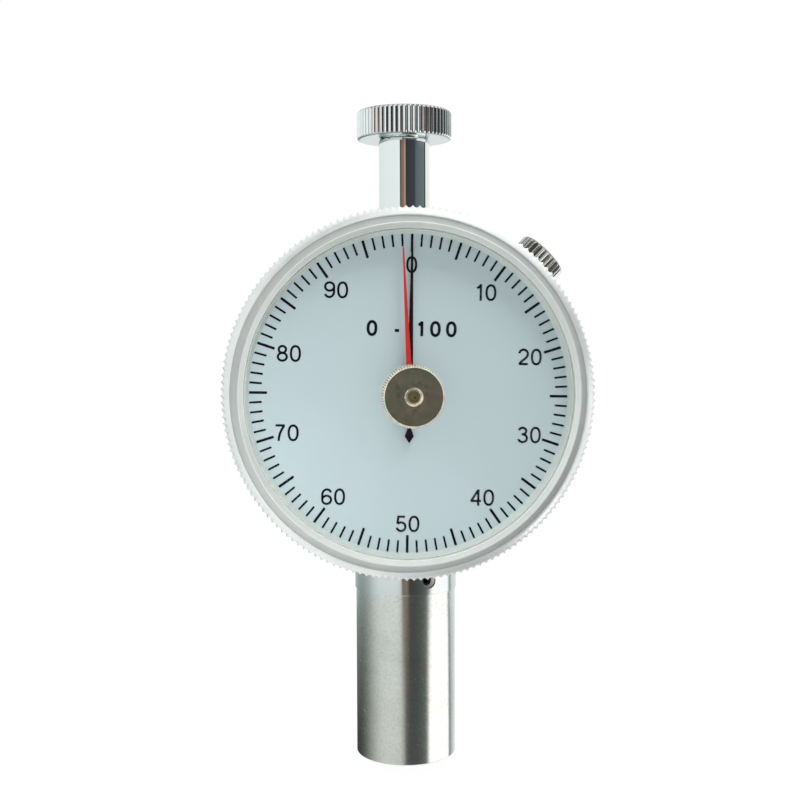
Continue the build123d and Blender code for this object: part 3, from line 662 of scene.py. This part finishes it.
thumb = turned_object("clamp_thumb_screw", [
    (0, THUMB_THREAD_LOW), (THUMB_THREAD_RADIUS - 0.2, THUMB_THREAD_LOW),
    (THUMB_THREAD_RADIUS, THUMB_THREAD_LOW + 0.2), (THUMB_THREAD_RADIUS, THUMB_LOW),
    (THUMB_RADIUS - 0.6, THUMB_LOW), (THUMB_RADIUS - 0.25, THUMB_LOW + 0.12, 0.5),
    (THUMB_RADIUS, THUMB_LOW + 0.4, 1), (THUMB_RADIUS, THUMB_HIGH - 0.65, 1),
    (THUMB_RADIUS - 0.2, THUMB_HIGH - 0.3, 0.6), (THUMB_RADIUS - 0.6, THUMB_HIGH - 0.08),
    (THUMB_RADIUS - 1.1, THUMB_HIGH), (0, THUMB_HIGH),
], CLAMP_BASE, CLAMP_AXIS, CLAMP_ZERO, THUMB_TEETH * THUMB_TOOTH_STEPS, teeth=THUMB_TEETH,
    depth=THUMB_KNURL)
dress(thumb, thumb_chrome, "clamp_thumb", "knob_chrome", "clamp_screw")

# Bezel with its band and bead, spacer and crystal

bezel = turned_object("bezel_ring", [
    (TUBE_BORE, BEZEL_REAR), (TUBE_RADIUS - 0.1, BEZEL_REAR), (TUBE_RADIUS, BEZEL_REAR + 0.1),
    (TUBE_RADIUS, FLANGE_REAR), (BEZEL_RADIUS - 0.75, FLANGE_REAR),
    (BEZEL_RADIUS - 0.35, FLANGE_REAR + 0.08, 0.5), (BEZEL_RADIUS - 0.08, FLANGE_REAR + 0.28, 0.9),
    (BEZEL_RADIUS, FLANGE_REAR + 0.55, 1), (BEZEL_RADIUS, 11.75, 1), (BEZEL_RADIUS - 0.07, 12.05, 0.95),
    (BEZEL_RADIUS - 0.23, 12.3, 0.7), (BEZEL_RADIUS - 0.5, 12.5, 0.3), (BEZEL_RADIUS - 0.85, 12.71),
    (BEZEL_RADIUS - 1.2, 12.91), (BEZEL_RADIUS - 1.5, 13.06), (BEZEL_RADIUS - 1.64, 13.1),
    (BAND_RADIUS + 0.06, BAND_FRONT + 0.1), (BAND_RADIUS, BAND_FRONT),
    (BEAD_RADIUS + 0.11, BAND_FRONT + 0.11), (BEAD_RADIUS, BAND_FRONT + 0.11), (28.9, 11.6),
    (TUBE_BORE, DIAL_REAR - 0.02),
], SEAT, FRONT, RIGHT, BEZEL_TEETH * BEZEL_TOOTH_STEPS, loop=True, teeth=BEZEL_TEETH, depth=BEZEL_KNURL,
    cut=scallop)
dress(bezel, satin, "bezel_set", "bezel_chrome", "bezel")
bead = turned_object("bezel_bead", [
    (BEAD_RADIUS, 12.8), (BEAD_RADIUS, 13.95), *round_profile(BEAD_RADIUS - 0.15, 14.35, 0.15, 0, 115, 8),
    (RECESS_RADIUS + 0.05, 14.10), (RECESS_RADIUS, 14.03), (RECESS_RADIUS, DIAL_REAR), (TUBE_BORE, DIAL_REAR),
    (28.9, 11.5),
], SEAT, FRONT, RIGHT, LARGE_ROUND, loop=True)
dress(bead, satin, "bezel_set", "bezel_chrome", "bezel")

spacer = turned_object("spacer_cone", [
    (TUBE_RADIUS, DIAL_FRONT), (PANE_RADIUS, DIAL_FRONT), (PANE_RADIUS, PANE_REAR),
    (PANE_RADIUS - 0.15, PANE_REAR), (PANE_RADIUS - 0.22, PANE_REAR - 0.06),
    (TUBE_RADIUS + 0.04, DIAL_FRONT + 0.05),
], SEAT, FRONT, RIGHT, LARGE_ROUND, loop=True)
dress(spacer, cream_paint, "bezel_set", "spacer_cream", "dial_spacer_ring")

pane = turned_object("crystal_window", [
    (PANE_HOLE, PANE_REAR), (PANE_RADIUS, PANE_REAR), (PANE_RADIUS, PANE_FRONT - 0.3),
    (PANE_RADIUS - 0.29, PANE_FRONT), (PANE_HOLE + 0.19, PANE_FRONT), (PANE_HOLE, PANE_FRONT - 0.18),
], SEAT, FRONT, RIGHT, LARGE_ROUND, loop=True)
dress(pane, window, "bezel_set", "window", "crystal")

# Printing on the dial: 100 divisions, numbers and a plain range

INK_FRONT, INK_THICKNESS = DIAL_FRONT + 0.012, 0.02
TICK_RADIUS = 27.50
TICK_END, TICK_END_SHARE = 0.06, 0.7
LONG_TICK, SHORT_TICK = (3.10, 0.23), (2.15, 0.18)
DIVISIONS = 100
NUMBER_STEP, NUMBER_HEIGHT = 10, 2.85
RANGE_PLACE, RANGE_HEIGHT = (0.4, 11.3), 2.55
# The distance of each number from the centre, as the numbers stand on the photographed dial
NUMBER_RADII = (22.25, 21.9, 21.85, 22.0, 22.0, 22.45, 22.0, 22.1, 21.85, 21.9)


def division_angle(division):
    """Angle of a division, seen from the front and measured from the right."""
    return math.radians(90 - DIAL_TURN - 360 / DIVISIONS * division)


def printed(name, bm):
    """Ink on the dial, from its flat front in a bmesh, closed all round."""
    made = bmesh.ops.extrude_face_region(bm, geom=bm.faces[:])["geom"]
    rear = [v for v in made if isinstance(v, bmesh.types.BMVert)]
    bmesh.ops.translate(bm, vec=-FRONT * INK_THICKNESS, verts=rear)
    dress(to_object(name, bm), print_ink, "bezel_set", "dial_face")


bm = bmesh.new()
for k in range(DIVISIONS):
    angle = division_angle(k)
    length, half = LONG_TICK if k % 5 == 0 else SHORT_TICK
    along = Vector((math.cos(angle), math.sin(angle)))
    across = Vector((-along.y, along.x)) * half
    inner = TICK_RADIUS - length
    ends = [(TICK_RADIUS, TICK_END_SHARE), (TICK_RADIUS - TICK_END, 1),
            (inner + TICK_END, 1), (inner, TICK_END_SHARE)]
    rim = [along * r + across * s for r, s in ends] + [along * r - across * s for r, s in ends[::-1]]
    bm.faces.new([bm.verts.new(on_dial(p.x, p.y, INK_FRONT)) for p in rim])
printed("dial_divisions", bm)


def oval(cx, cy, rx, ry, start, end, square=2.0):
    """Points along an oval, from one angle to another, slightly squared where asked."""
    steps = max(6, int(abs(end - start) / 9))
    points = []
    for i in range(steps + 1):
        angle = math.radians(start + (end - start) * i / steps)
        c, s = math.cos(angle), math.sin(angle)
        points.append((cx + rx * math.copysign(abs(c) ** (2 / square), c),
                       cy + ry * math.copysign(abs(s) ** (2 / square), s)))
    return points


# Widths and centre lines of plain figures, in a box of height 1
WIDE = 0.66
SIX = [
    oval(0.33, 0.31, 0.265, 0.2475, 0, 360),
    oval(0.345, 0.70, 0.25, 0.2375, 15, 90) + oval(0.345, 0.62, 0.28, 0.3175, 90, 180)[1:]
    + [(0.065, 0.46), (0.066, 0.34)],
]
FIGURES = {
    "0": (WIDE, [oval(0.33, 0.5, 0.265, 0.4375, 0, 360, 2.25)]),
    "1": (0.50, [[(0.10, 0.75), (0.19, 0.80), (0.27, 0.87), (0.335, 0.96)], [(0.335, 0.0), (0.335, 1.0)]]),
    "2": (WIDE, [
        oval(0.33, 0.675, 0.26, 0.2625, 172, -28)
        + [(0.50, 0.46), (0.38, 0.355), (0.21, 0.22), (0.115, 0.125), (0.075, 0.0625)],
        [(0.045, 0.0625), (0.60, 0.0625)]]),
    "3": (WIDE, [
        oval(0.315, 0.735, 0.225, 0.2025, 168, -75), oval(0.325, 0.30, 0.265, 0.2375, 88, -168),
        [(0.26, 0.535), (0.36, 0.535)]]),
    "4": (0.68, [
        [(0.49, 0.0), (0.49, 1.0)], [(0.475, 0.95), (0.055, 0.295)], [(0.02, 0.295), (0.66, 0.295)]]),
    "5": (WIDE, [
        [(0.56, 0.9375), (0.155, 0.9375), (0.10, 0.505)], oval(0.325, 0.325, 0.265, 0.2625, 142, -168)]),
    "6": (WIDE, SIX),
    "7": (WIDE, [
        [(0.05, 0.9375), (0.61, 0.9375)],
        [(0.57, 0.91), (0.44, 0.72), (0.33, 0.48), (0.265, 0.22), (0.245, 0.0)]]),
    "8": (WIDE, [
        oval(0.33, 0.735, 0.215, 0.2025, 0, 360), oval(0.33, 0.295, 0.265, 0.2325, 0, 360)]),
    "9": (WIDE, [[(WIDE - x, 1 - y) for x, y in line] for line in SIX]),
    "-": (0.42, [[(0.06, 0.36), (0.36, 0.36)]]),
    " ": (0.30, []),
}


def stroke(bm, line, width, place):
    """A flat strip of one width along a centre line, with mitred bends."""
    points = [Vector(p) for p in line]
    closed = (points[0] - points[-1]).length < 1e-6
    if closed:
        points.pop()
    rows = []
    for i, point in enumerate(points):
        ways = []
        if closed or i:
            ways.append((point - points[i - 1]).normalized())
        if closed or i + 1 < len(points):
            ways.append((points[(i + 1) % len(points)] - point).normalized())
        way = sum(ways, Vector((0, 0))).normalized()
        across = Vector((-way.y, way.x)) * width / 2 / max(0.5, way.dot(ways[0]))
        rows.append([bm.verts.new(place(point + across)), bm.verts.new(place(point - across))])
    for a, b in zip(rows, rows[1:] + (rows[:1] if closed else [])):
        bm.faces.new((a[0], b[0], b[1], a[1]))


def figures(name, text, x, y, height, weight=0.14, spacing=0.12):
    """Plain upright figures on the dial, centred at a place seen from the front."""
    turn = Matrix.Rotation(-math.radians(DIAL_TURN), 2)
    total = sum(FIGURES[c][0] for c in text) + spacing * (len(text) - 1)
    bm = bmesh.new()
    start = -total / 2
    for c in text:
        width, centre_lines = FIGURES[c]

        def place(p, start=start):
            flat = turn @ (Vector((start + p.x, p.y - 0.5)) * height)
            return on_dial(x + flat.x, y + flat.y, INK_FRONT)

        for line in centre_lines:
            stroke(bm, line, weight, place)
        start += width + spacing
    printed(name, bm)


for value, radius in zip(range(0, DIVISIONS, NUMBER_STEP), NUMBER_RADII):
    angle = division_angle(value)
    x, y = radius * math.cos(angle), radius * math.sin(angle)
    figures(f"dial_number_{value}", str(value), x, y, NUMBER_HEIGHT)
figures("dial_range", "0 - 100", *RANGE_PLACE, RANGE_HEIGHT, weight=0.20, spacing=0.42)

# Reset knob and the end of its shaft; the photograph shows no shadow of them on the dial

knob = turned_object("reset_knob_head", [
    (SHAFT_RADIUS, RESET_REAR), (RESET_RADIUS - 0.65, RESET_REAR),
    (RESET_RADIUS - 0.27, RESET_REAR + 0.1, 0.5), (RESET_RADIUS, RESET_REAR + 0.4, 1),
    (RESET_RADIUS - 0.08, RESET_FRONT - 0.52, 1), (RESET_RADIUS - 0.13, RESET_FRONT - 0.38, 0.85),
    (RESET_RADIUS - 0.29, RESET_FRONT - 0.18, 0.3), (RESET_RADIUS - 0.5, RESET_FRONT),
    (1.52, RESET_FRONT), (1.46, RESET_FRONT - 0.03), (SHAFT_RADIUS, RESET_FRONT - 0.5),
], SEAT, FRONT, RIGHT, RESET_TEETH * RESET_TOOTH_STEPS, sharp=RESET_SHARP_ANGLE, loop=True,
    teeth=RESET_TEETH, depth=RESET_KNURL)
dress(knob, reset_metal, "peak_set", "reset_metal", "reset_knob")
shaft = turned_object("reset_shaft_end", [
    (0, SHAFT_REAR), (SHAFT_RADIUS, SHAFT_REAR), (SHAFT_RADIUS, RESET_REAR - 0.05),
    (0.97, RESET_REAR), (0.97, 19.98), (0.88, 20.08), (0.44, 20.08), (0.38, 20.0), (0, 19.5),
], SEAT, FRONT, RIGHT, SMALL_ROUND)
dress(shaft, shaft_brass, "peak_set", "reset_metal")
knob.visible_shadow = shaft.visible_shadow = False

# Springs: the coil has a flat turn at each end, and the hairspring winds out from its arbor

coil_line = []
for i in range(COIL_TURNS * COIL_STEPS + 1):
    turn = i / COIL_STEPS
    ends = COIL_END_RISE * (min(turn, 1) + max(turn - COIL_TURNS + 1, 0))
    middle = (1 - 2 * COIL_END_RISE) * min(max(turn - 1, 0), COIL_TURNS - 2) / (COIL_TURNS - 2)
    out = Vector((math.cos(2 * math.pi * turn), math.sin(2 * math.pi * turn), 0))
    z = COIL_LOW + (COIL_HIGH - COIL_LOW) * (ends + middle)
    coil_line.append((out * COIL_RADIUS + UP * z, out, UP))
coil = swept("spring_coil", coil_line, [
    (COIL_WIRE * math.cos(a), COIL_WIRE * math.sin(a))
    for a in (2 * math.pi * i / COIL_SIDES for i in range(COIL_SIDES))])
dress(coil, spring_steel, "housing", "spring_steel", "main_spring")
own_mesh(coil)

hair_line = []
for i in range(HAIR_TURNS * HAIR_STEPS + 1):
    turn = i / HAIR_STEPS
    out = Vector((math.cos(2 * math.pi * turn), 0, math.sin(2 * math.pi * turn)))
    hair_line.append((SEAT + out * (HAIR_INNER + HAIR_PITCH * turn) + FRONT * HAIR_DEPTH, out, FRONT))
hair = swept("hairspring_strip", hair_line, [
    (HAIR_HALF_THICKNESS * a, HAIR_HALF_HEIGHT * b) for a, b in ((-1, -1), (1, -1), (1, 1), (-1, 1))])
dress(hair, spring_steel, "housing", "spring_steel", "hairspring")

# Nodes that keep their solids

for paint, names in (
    (dial_paint, ("dial",)),
    (hand_black, ("main_hand",)),
    (hand_red, ("max_hand",)),
    (brass, ("back_plate", "front_plate", "plate_pillars", "transfer_arbor", "guide_tube")),
    (works_steel, ("spindle", "centre_arbor", "indenter")),
    (screw_steel, ("clamp_shoe", "hairspring_stud")),
):
    for name in names:
        slots = frame["nodes"][name].data.materials
        slots.clear()
        slots.append(paint.material)

# Floor: pale paper that looks white to the camera and keeps the object's shadow. It is hidden from
# glossy rays, so the metal mirrors the studio's table and the glow's share for those rays is idle.

FLOOR_SIZE, FLOOR_GAP = 1500, 0.03
FLOOR_WHITE, FLOOR_GLOW = 0.82, 1.12

scene = bpy.context.scene
scene.view_settings.view_transform = "Standard"

bm = bmesh.new()
bmesh.ops.create_grid(bm, x_segments=2, y_segments=2, size=FLOOR_SIZE)
bmesh.ops.translate(bm, vec=(0, 0, span("indenter", "z")[0] - FLOOR_GAP), verts=bm.verts)
floor = to_object("floor", bm)
floor.visible_glossy = False
paper = Paint("floor_paper", Roughness=0.9)
paper.colour(paper.noise(30), near((0.86, 0.86, 0.86), 0.01))
path = paper.node("ShaderNodeLightPath").outputs
seen = paper.math("MAXIMUM", path["Is Camera Ray"], path["Is Glossy Ray"])
seen = paper.math("MAXIMUM", seen, path["Is Transmission Ray"])
glow = paper.node("ShaderNodeEmission", inputs={"Color": (1, 1, 1, 1), "Strength": FLOOR_GLOW}).outputs[0]
white = paper.math("MULTIPLY", seen, FLOOR_WHITE)
mixed = paper.node("ShaderNodeMixShader", {0: white, 1: paper.shader.outputs[0], 2: glow}).outputs[0]
paper.tree.links.new(mixed, paper.tree.nodes["Material Output"].inputs["Surface"])
floor.data.materials.append(paper.material)

# Studio: a soft sky lights the object, the camera sees white, and the metal mirrors a white tent
# with a brown and a charcoal screen in front, to the right of the camera. The screens change with
# the height, and their colours are set to the bands that the photograph shows in each part.
# A bearing is measured from the front to the right and a height from the horizon, both in degrees.

SKY_COLOUR, SKY_STRENGTH = (0.97, 1.0, 1.0, 1), 0.59
STUDIO_TURN = 1.2

world = bpy.data.worlds.new("studio")
scene.world = world
world.use_nodes = True
world.node_tree.nodes.clear()
studio = Nodes(world.node_tree)


def in_degrees(angle):
    return studio.math("MULTIPLY", angle, 180 / math.pi)


direction = studio.node("ShaderNodeTexCoord").outputs["Generated"]
east, north, rise = studio.node("ShaderNodeSeparateXYZ", {0: direction}).outputs
south = studio.math("MULTIPLY", north, -1.0)
bearing = studio.math("SUBTRACT", in_degrees(studio.math("ARCTAN2", east, south)), STUDIO_TURN)
height = in_degrees(studio.math("ARCSINE", rise))


def screens(*stops):
    """What stands round the object, by its bearing."""
    return studio.ramp_over(bearing, -180, 180, stops)


def by_height(stops, outside, inside):
    """One set of screens or another, by a share that depends on the height."""
    return studio.mix(studio.ramp_over(height, -90, 90, stops), outside, inside)


def above(low, high, under, over):
    """One set of screens under another, with a soft edge between two heights."""
    return by_height([(low, 0.0), (high, 1.0)], under, over)


def between(limits, outside, inside):
    """One set of screens in a band of heights with two soft edges, and another outside it."""
    return by_height(list(zip(limits, (0.0, 1.0, 1.0, 0.0))), outside, inside)


# What the stem mirrors, and the knob above it
stem_screens = screens(
    (-180, (0.82, 0.88, 0.88)), (-100, (0.90, 0.95, 0.95)), (-50, (0.93, 0.98, 0.97)),
    (-26, (0.97, 1.0, 0.99)), (-24, 0.05), (-21, 0.05), (-19.5, (0.28, 0.15, 0.115)),
    (-8, (0.32, 0.172, 0.135)), (-6, (0.47, 0.305, 0.23)), (0, (0.45, 0.295, 0.225)),
    (2.5, (0.036, 0.034, 0.028)), (8, (0.045, 0.05, 0.052)), (42, (0.055, 0.064, 0.075)),
    (50, (0.125, 0.15, 0.16)), (97, (0.16, 0.20, 0.205)), (100, 0.04), (105, 0.04),
    (108, (1.0, 1.0, 0.97)), (180, (1.0, 1.0, 0.98)))
knob_screens = screens(
    (-180, (0.82, 0.88, 0.88)), (-100, (0.90, 0.95, 0.95)), (-50, (0.95, 1.0, 0.99)),
    (-27, (0.97, 1.0, 0.99)), (-24, (0.05, 0.036, 0.032)), (-6, (0.10, 0.060, 0.048)),
    (0, (0.10, 0.060, 0.048)), (2.5, (0.024, 0.024, 0.024)), (54, (0.030, 0.034, 0.036)),
    (64, (0.38, 0.39, 0.38)), (97, (0.46, 0.48, 0.47)), (100, 0.04), (105, 0.04), (108, (1.0, 1.0, 0.98)),
    (180, (1.0, 1.0, 0.98)))
# What the neck mirrors, the foot and its lower end, and what shows in the foot from other sides
neck_screens = screens(
    (-180, (0.48, 0.57, 0.56)), (-158, (0.44, 0.53, 0.51)), (-140, (0.32, 0.40, 0.38)),
    (-115, (0.32, 0.39, 0.38)), (-96, (0.45, 0.53, 0.53)), (-83, (0.62, 0.72, 0.72)),
    (-70, (0.76, 0.84, 0.845)), (-25, (0.80, 0.865, 0.86)), (-15, (0.74, 0.76, 0.77)), (-13, 0.02),
    (-10.5, 0.02), (-9, (0.27, 0.175, 0.125)), (-1, (0.32, 0.20, 0.145)), (2, (0.05, 0.046, 0.030)),
    (20, (0.055, 0.067, 0.056)), (50, (0.11, 0.13, 0.118)), (58, 1.08), (106, 1.08),
    (110, (0.18, 0.25, 0.27)), (116, (0.18, 0.25, 0.27)), (121, (0.72, 0.78, 0.78)),
    (180, (0.80, 0.85, 0.85)))
foot_screens = screens(
    (-180, (0.20, 0.215, 0.20)), (-145, (0.15, 0.162, 0.15)), (-125, (0.125, 0.135, 0.125)),
    (-108, (0.18, 0.195, 0.176)), (-96, (0.27, 0.288, 0.26)), (-84, (0.40, 0.432, 0.40)),
    (-62, (0.53, 0.568, 0.53)), (-42, (0.57, 0.612, 0.575)), (-26, (0.53, 0.568, 0.53)),
    (-15, (0.43, 0.454, 0.42)), (-9, (0.16, 0.158, 0.142)), (0, (0.11, 0.108, 0.098)),
    (6, (0.060, 0.064, 0.062)), (22, (0.066, 0.072, 0.070)), (40, (0.12, 0.135, 0.13)),
    (46, (0.25, 0.27, 0.265)), (53, (1.26, 1.26, 1.22)), (110, (1.26, 1.26, 1.24)),
    (114, (0.20, 0.24, 0.235)), (120, (0.20, 0.24, 0.235)), (125, (0.50, 0.54, 0.53)),
    (150, (0.74, 0.78, 0.78)), (180, (0.74, 0.79, 0.79)))
sole_screens = screens(
    (-180, (0.05, 0.055, 0.052)), (-140, (0.035, 0.038, 0.036)), (-122, (0.07, 0.075, 0.07)),
    (-108, (0.15, 0.16, 0.145)), (-92, (0.29, 0.31, 0.28)), (-76, (0.46, 0.495, 0.455)),
    (-62, (0.59, 0.63, 0.585)), (-36, (0.65, 0.695, 0.645)), (-18, (0.62, 0.66, 0.62)),
    (-10, (0.44, 0.465, 0.44)), (-5, (0.07, 0.073, 0.07)), (4, (0.050, 0.053, 0.051)),
    (22, (0.055, 0.062, 0.058)), (43, (0.11, 0.125, 0.115)), (46, (0.22, 0.235, 0.22)),
    (51, (1.24, 1.24, 1.19)), (112, (1.26, 1.26, 1.24)), (116, (0.20, 0.24, 0.235)),
    (122, (0.20, 0.24, 0.235)), (128, (0.50, 0.54, 0.53)), (150, (0.80, 0.83, 0.83)),
    (180, (0.70, 0.75, 0.75)))
low_screens = screens(
    (-180, (0.42, 0.45, 0.44)), (-120, (0.30, 0.32, 0.31)), (-60, (0.60, 0.64, 0.61)),
    (-18, (0.60, 0.64, 0.61)), (0, (0.16, 0.165, 0.16)), (44, (0.20, 0.21, 0.205)), (56, 2.0), (66, 2.0),
    (72, (0.72, 0.75, 0.74)), (150, (0.66, 0.70, 0.69)), (180, (0.52, 0.55, 0.54)))
# Plainer screens above the stem's, and level with the dial
plain_screens = screens(
    (-180, (0.82, 0.87, 0.87)), (-60, (0.95, 0.98, 0.98)), (-26, (0.90, 0.93, 0.93)),
    (-10, (0.24, 0.245, 0.25)), (10, (0.11, 0.115, 0.12)), (70, (0.16, 0.17, 0.175)),
    (96, (0.50, 0.51, 0.51)), (112, 1.0), (180, 1.0))
side_screens = screens(
    (-180, (0.82, 0.87, 0.87)), (-60, (0.80, 0.83, 0.83)), (-26, (0.82, 0.85, 0.85)),
    (-10, (0.24, 0.245, 0.25)), (10, (0.11, 0.115, 0.12)), (46, (0.16, 0.17, 0.175)), (56, 1.7),
    (100, 1.5), (180, 1.0))
# The tent over the screens and under them, and the table
tent_above = screens(
    (-180, (0.80, 0.84, 0.84)), (-75, (0.84, 0.87, 0.86)), (-54, (0.88, 0.91, 0.89)),
    (-46, (0.10, 0.105, 0.10)), (-28, (0.10, 0.105, 0.10)), (-18, (0.84, 0.86, 0.84)),
    (40, (0.95, 0.97, 0.96)), (180, 1.0))
tent_below = screens(
    (-180, (0.78, 0.82, 0.82)), (-70, (0.62, 0.65, 0.64)), (-20, (0.60, 0.62, 0.61)),
    (6, (0.50, 0.52, 0.51)), (20, (0.26, 0.28, 0.27)), (50, (0.28, 0.30, 0.29)), (57, 2.9), (72, 2.9),
    (80, 0.9), (180, 0.9))
table = screens(
    (-180, (0.70, 0.73, 0.73)), (-20, (0.80, 0.82, 0.81)), (2, (0.72, 0.74, 0.73)),
    (14, (0.10, 0.11, 0.105)), (80, (0.10, 0.11, 0.105)), (100, (0.60, 0.62, 0.61)),
    (180, (0.75, 0.77, 0.77)))

foot_stack = above(-18.5, -15, sole_screens, foot_screens)
foot_stack = above(-26.5, -23.5, low_screens, foot_stack)
lower_stack = above(-13.2, -12.5, foot_stack, neck_screens)
stem_stack = above(9.5, 10.1, stem_screens, knob_screens)
upper_stack = between((3, 5, 12, 14.5), plain_screens, stem_stack)
upper_stack = above(2, 4.5, side_screens, upper_stack)
stack = above(-9, -5, lower_stack, upper_stack)
tent = above(-12, 12, tent_below, tent_above)
tent = above(-50, -45, table, tent)
mirrored = between((-40, -32, 24, 34), tent, stack)

path = studio.node("ShaderNodeLightPath").outputs
gloss = studio.math("MAXIMUM", path["Is Glossy Ray"], path["Is Transmission Ray"])
sky = studio.node("ShaderNodeBackground", inputs={"Color": SKY_COLOUR, "Strength": SKY_STRENGTH}).outputs[0]
mirror = studio.node("ShaderNodeBackground", {"Color": mirrored}).outputs[0]
plain = studio.node("ShaderNodeBackground", inputs={"Color": (1, 1, 1, 1)}).outputs[0]
lighting = studio.node("ShaderNodeMixShader", {0: gloss, 1: sky, 2: mirror}).outputs[0]
surround = studio.node("ShaderNodeMixShader", {0: path["Is Camera Ray"], 1: lighting, 2: plain}).outputs[0]
studio.node("ShaderNodeOutputWorld", {"Surface": surround})

# Lamps: one from above, and a weak one from the lower left that casts no shadow; in metres

LAMP_TARGET, LAMP_SIZE = (0, -0.011, 0.066), 0.06


def softbox(name, place, power, shadow):
    """A round lamp that points at the dial and isn't seen itself."""
    light = bpy.data.lights.new(name, "AREA")
    light.shape, light.size, light.energy = "DISK", LAMP_SIZE, power
    light.use_shadow = shadow
    obj = bpy.data.objects.new(name, light)
    obj.location = place
    obj.rotation_euler = (Vector(LAMP_TARGET) - Vector(place)).to_track_quat("-Z", "Y").to_euler()
    obj.visible_glossy = obj.visible_camera = False
    scene.collection.objects.link(obj)


softbox("fill_softbox", (-0.060, -0.067, 0.016), 0.041, False)
softbox("top_softbox", (0.043, -0.053, 0.214), 0.22, True)

# Camera, a little to the left of the dial's axis and above it; lengths in metres

CAMERA_LENS, CAMERA_SENSOR = 52.69, 36.0
CAMERA_NEAR, CAMERA_FAR = 0.01, 20
CAMERA_DISTANCE, CAMERA_HEIGHT, CAMERA_ROLL = 0.21235, 0.07585, math.radians(0.2)
CAMERA_TURN, CAMERA_YAW, CAMERA_PITCH = math.radians(-4.2), math.radians(-3.956), math.radians(-3.1)

camera = bpy.data.cameras.new("camera")
camera.lens, camera.sensor_width = CAMERA_LENS, CAMERA_SENSOR
camera.clip_start, camera.clip_end = CAMERA_NEAR, CAMERA_FAR
eye = bpy.data.objects.new("camera", camera)
scene.collection.objects.link(eye)
aside, ahead = math.sin(CAMERA_TURN), math.cos(CAMERA_TURN)
eye.location = (CAMERA_DISTANCE * aside, -CAMERA_DISTANCE * ahead, CAMERA_HEIGHT)
level = math.cos(CAMERA_PITCH)
aim = Vector((-math.sin(CAMERA_YAW) * level, math.cos(CAMERA_YAW) * level, math.sin(CAMERA_PITCH)))
roll = Matrix.Rotation(CAMERA_ROLL, 3, aim)
eye.rotation_euler = (roll @ aim.to_track_quat("-Z", "Y").to_matrix()).to_euler()
scene.camera = eye
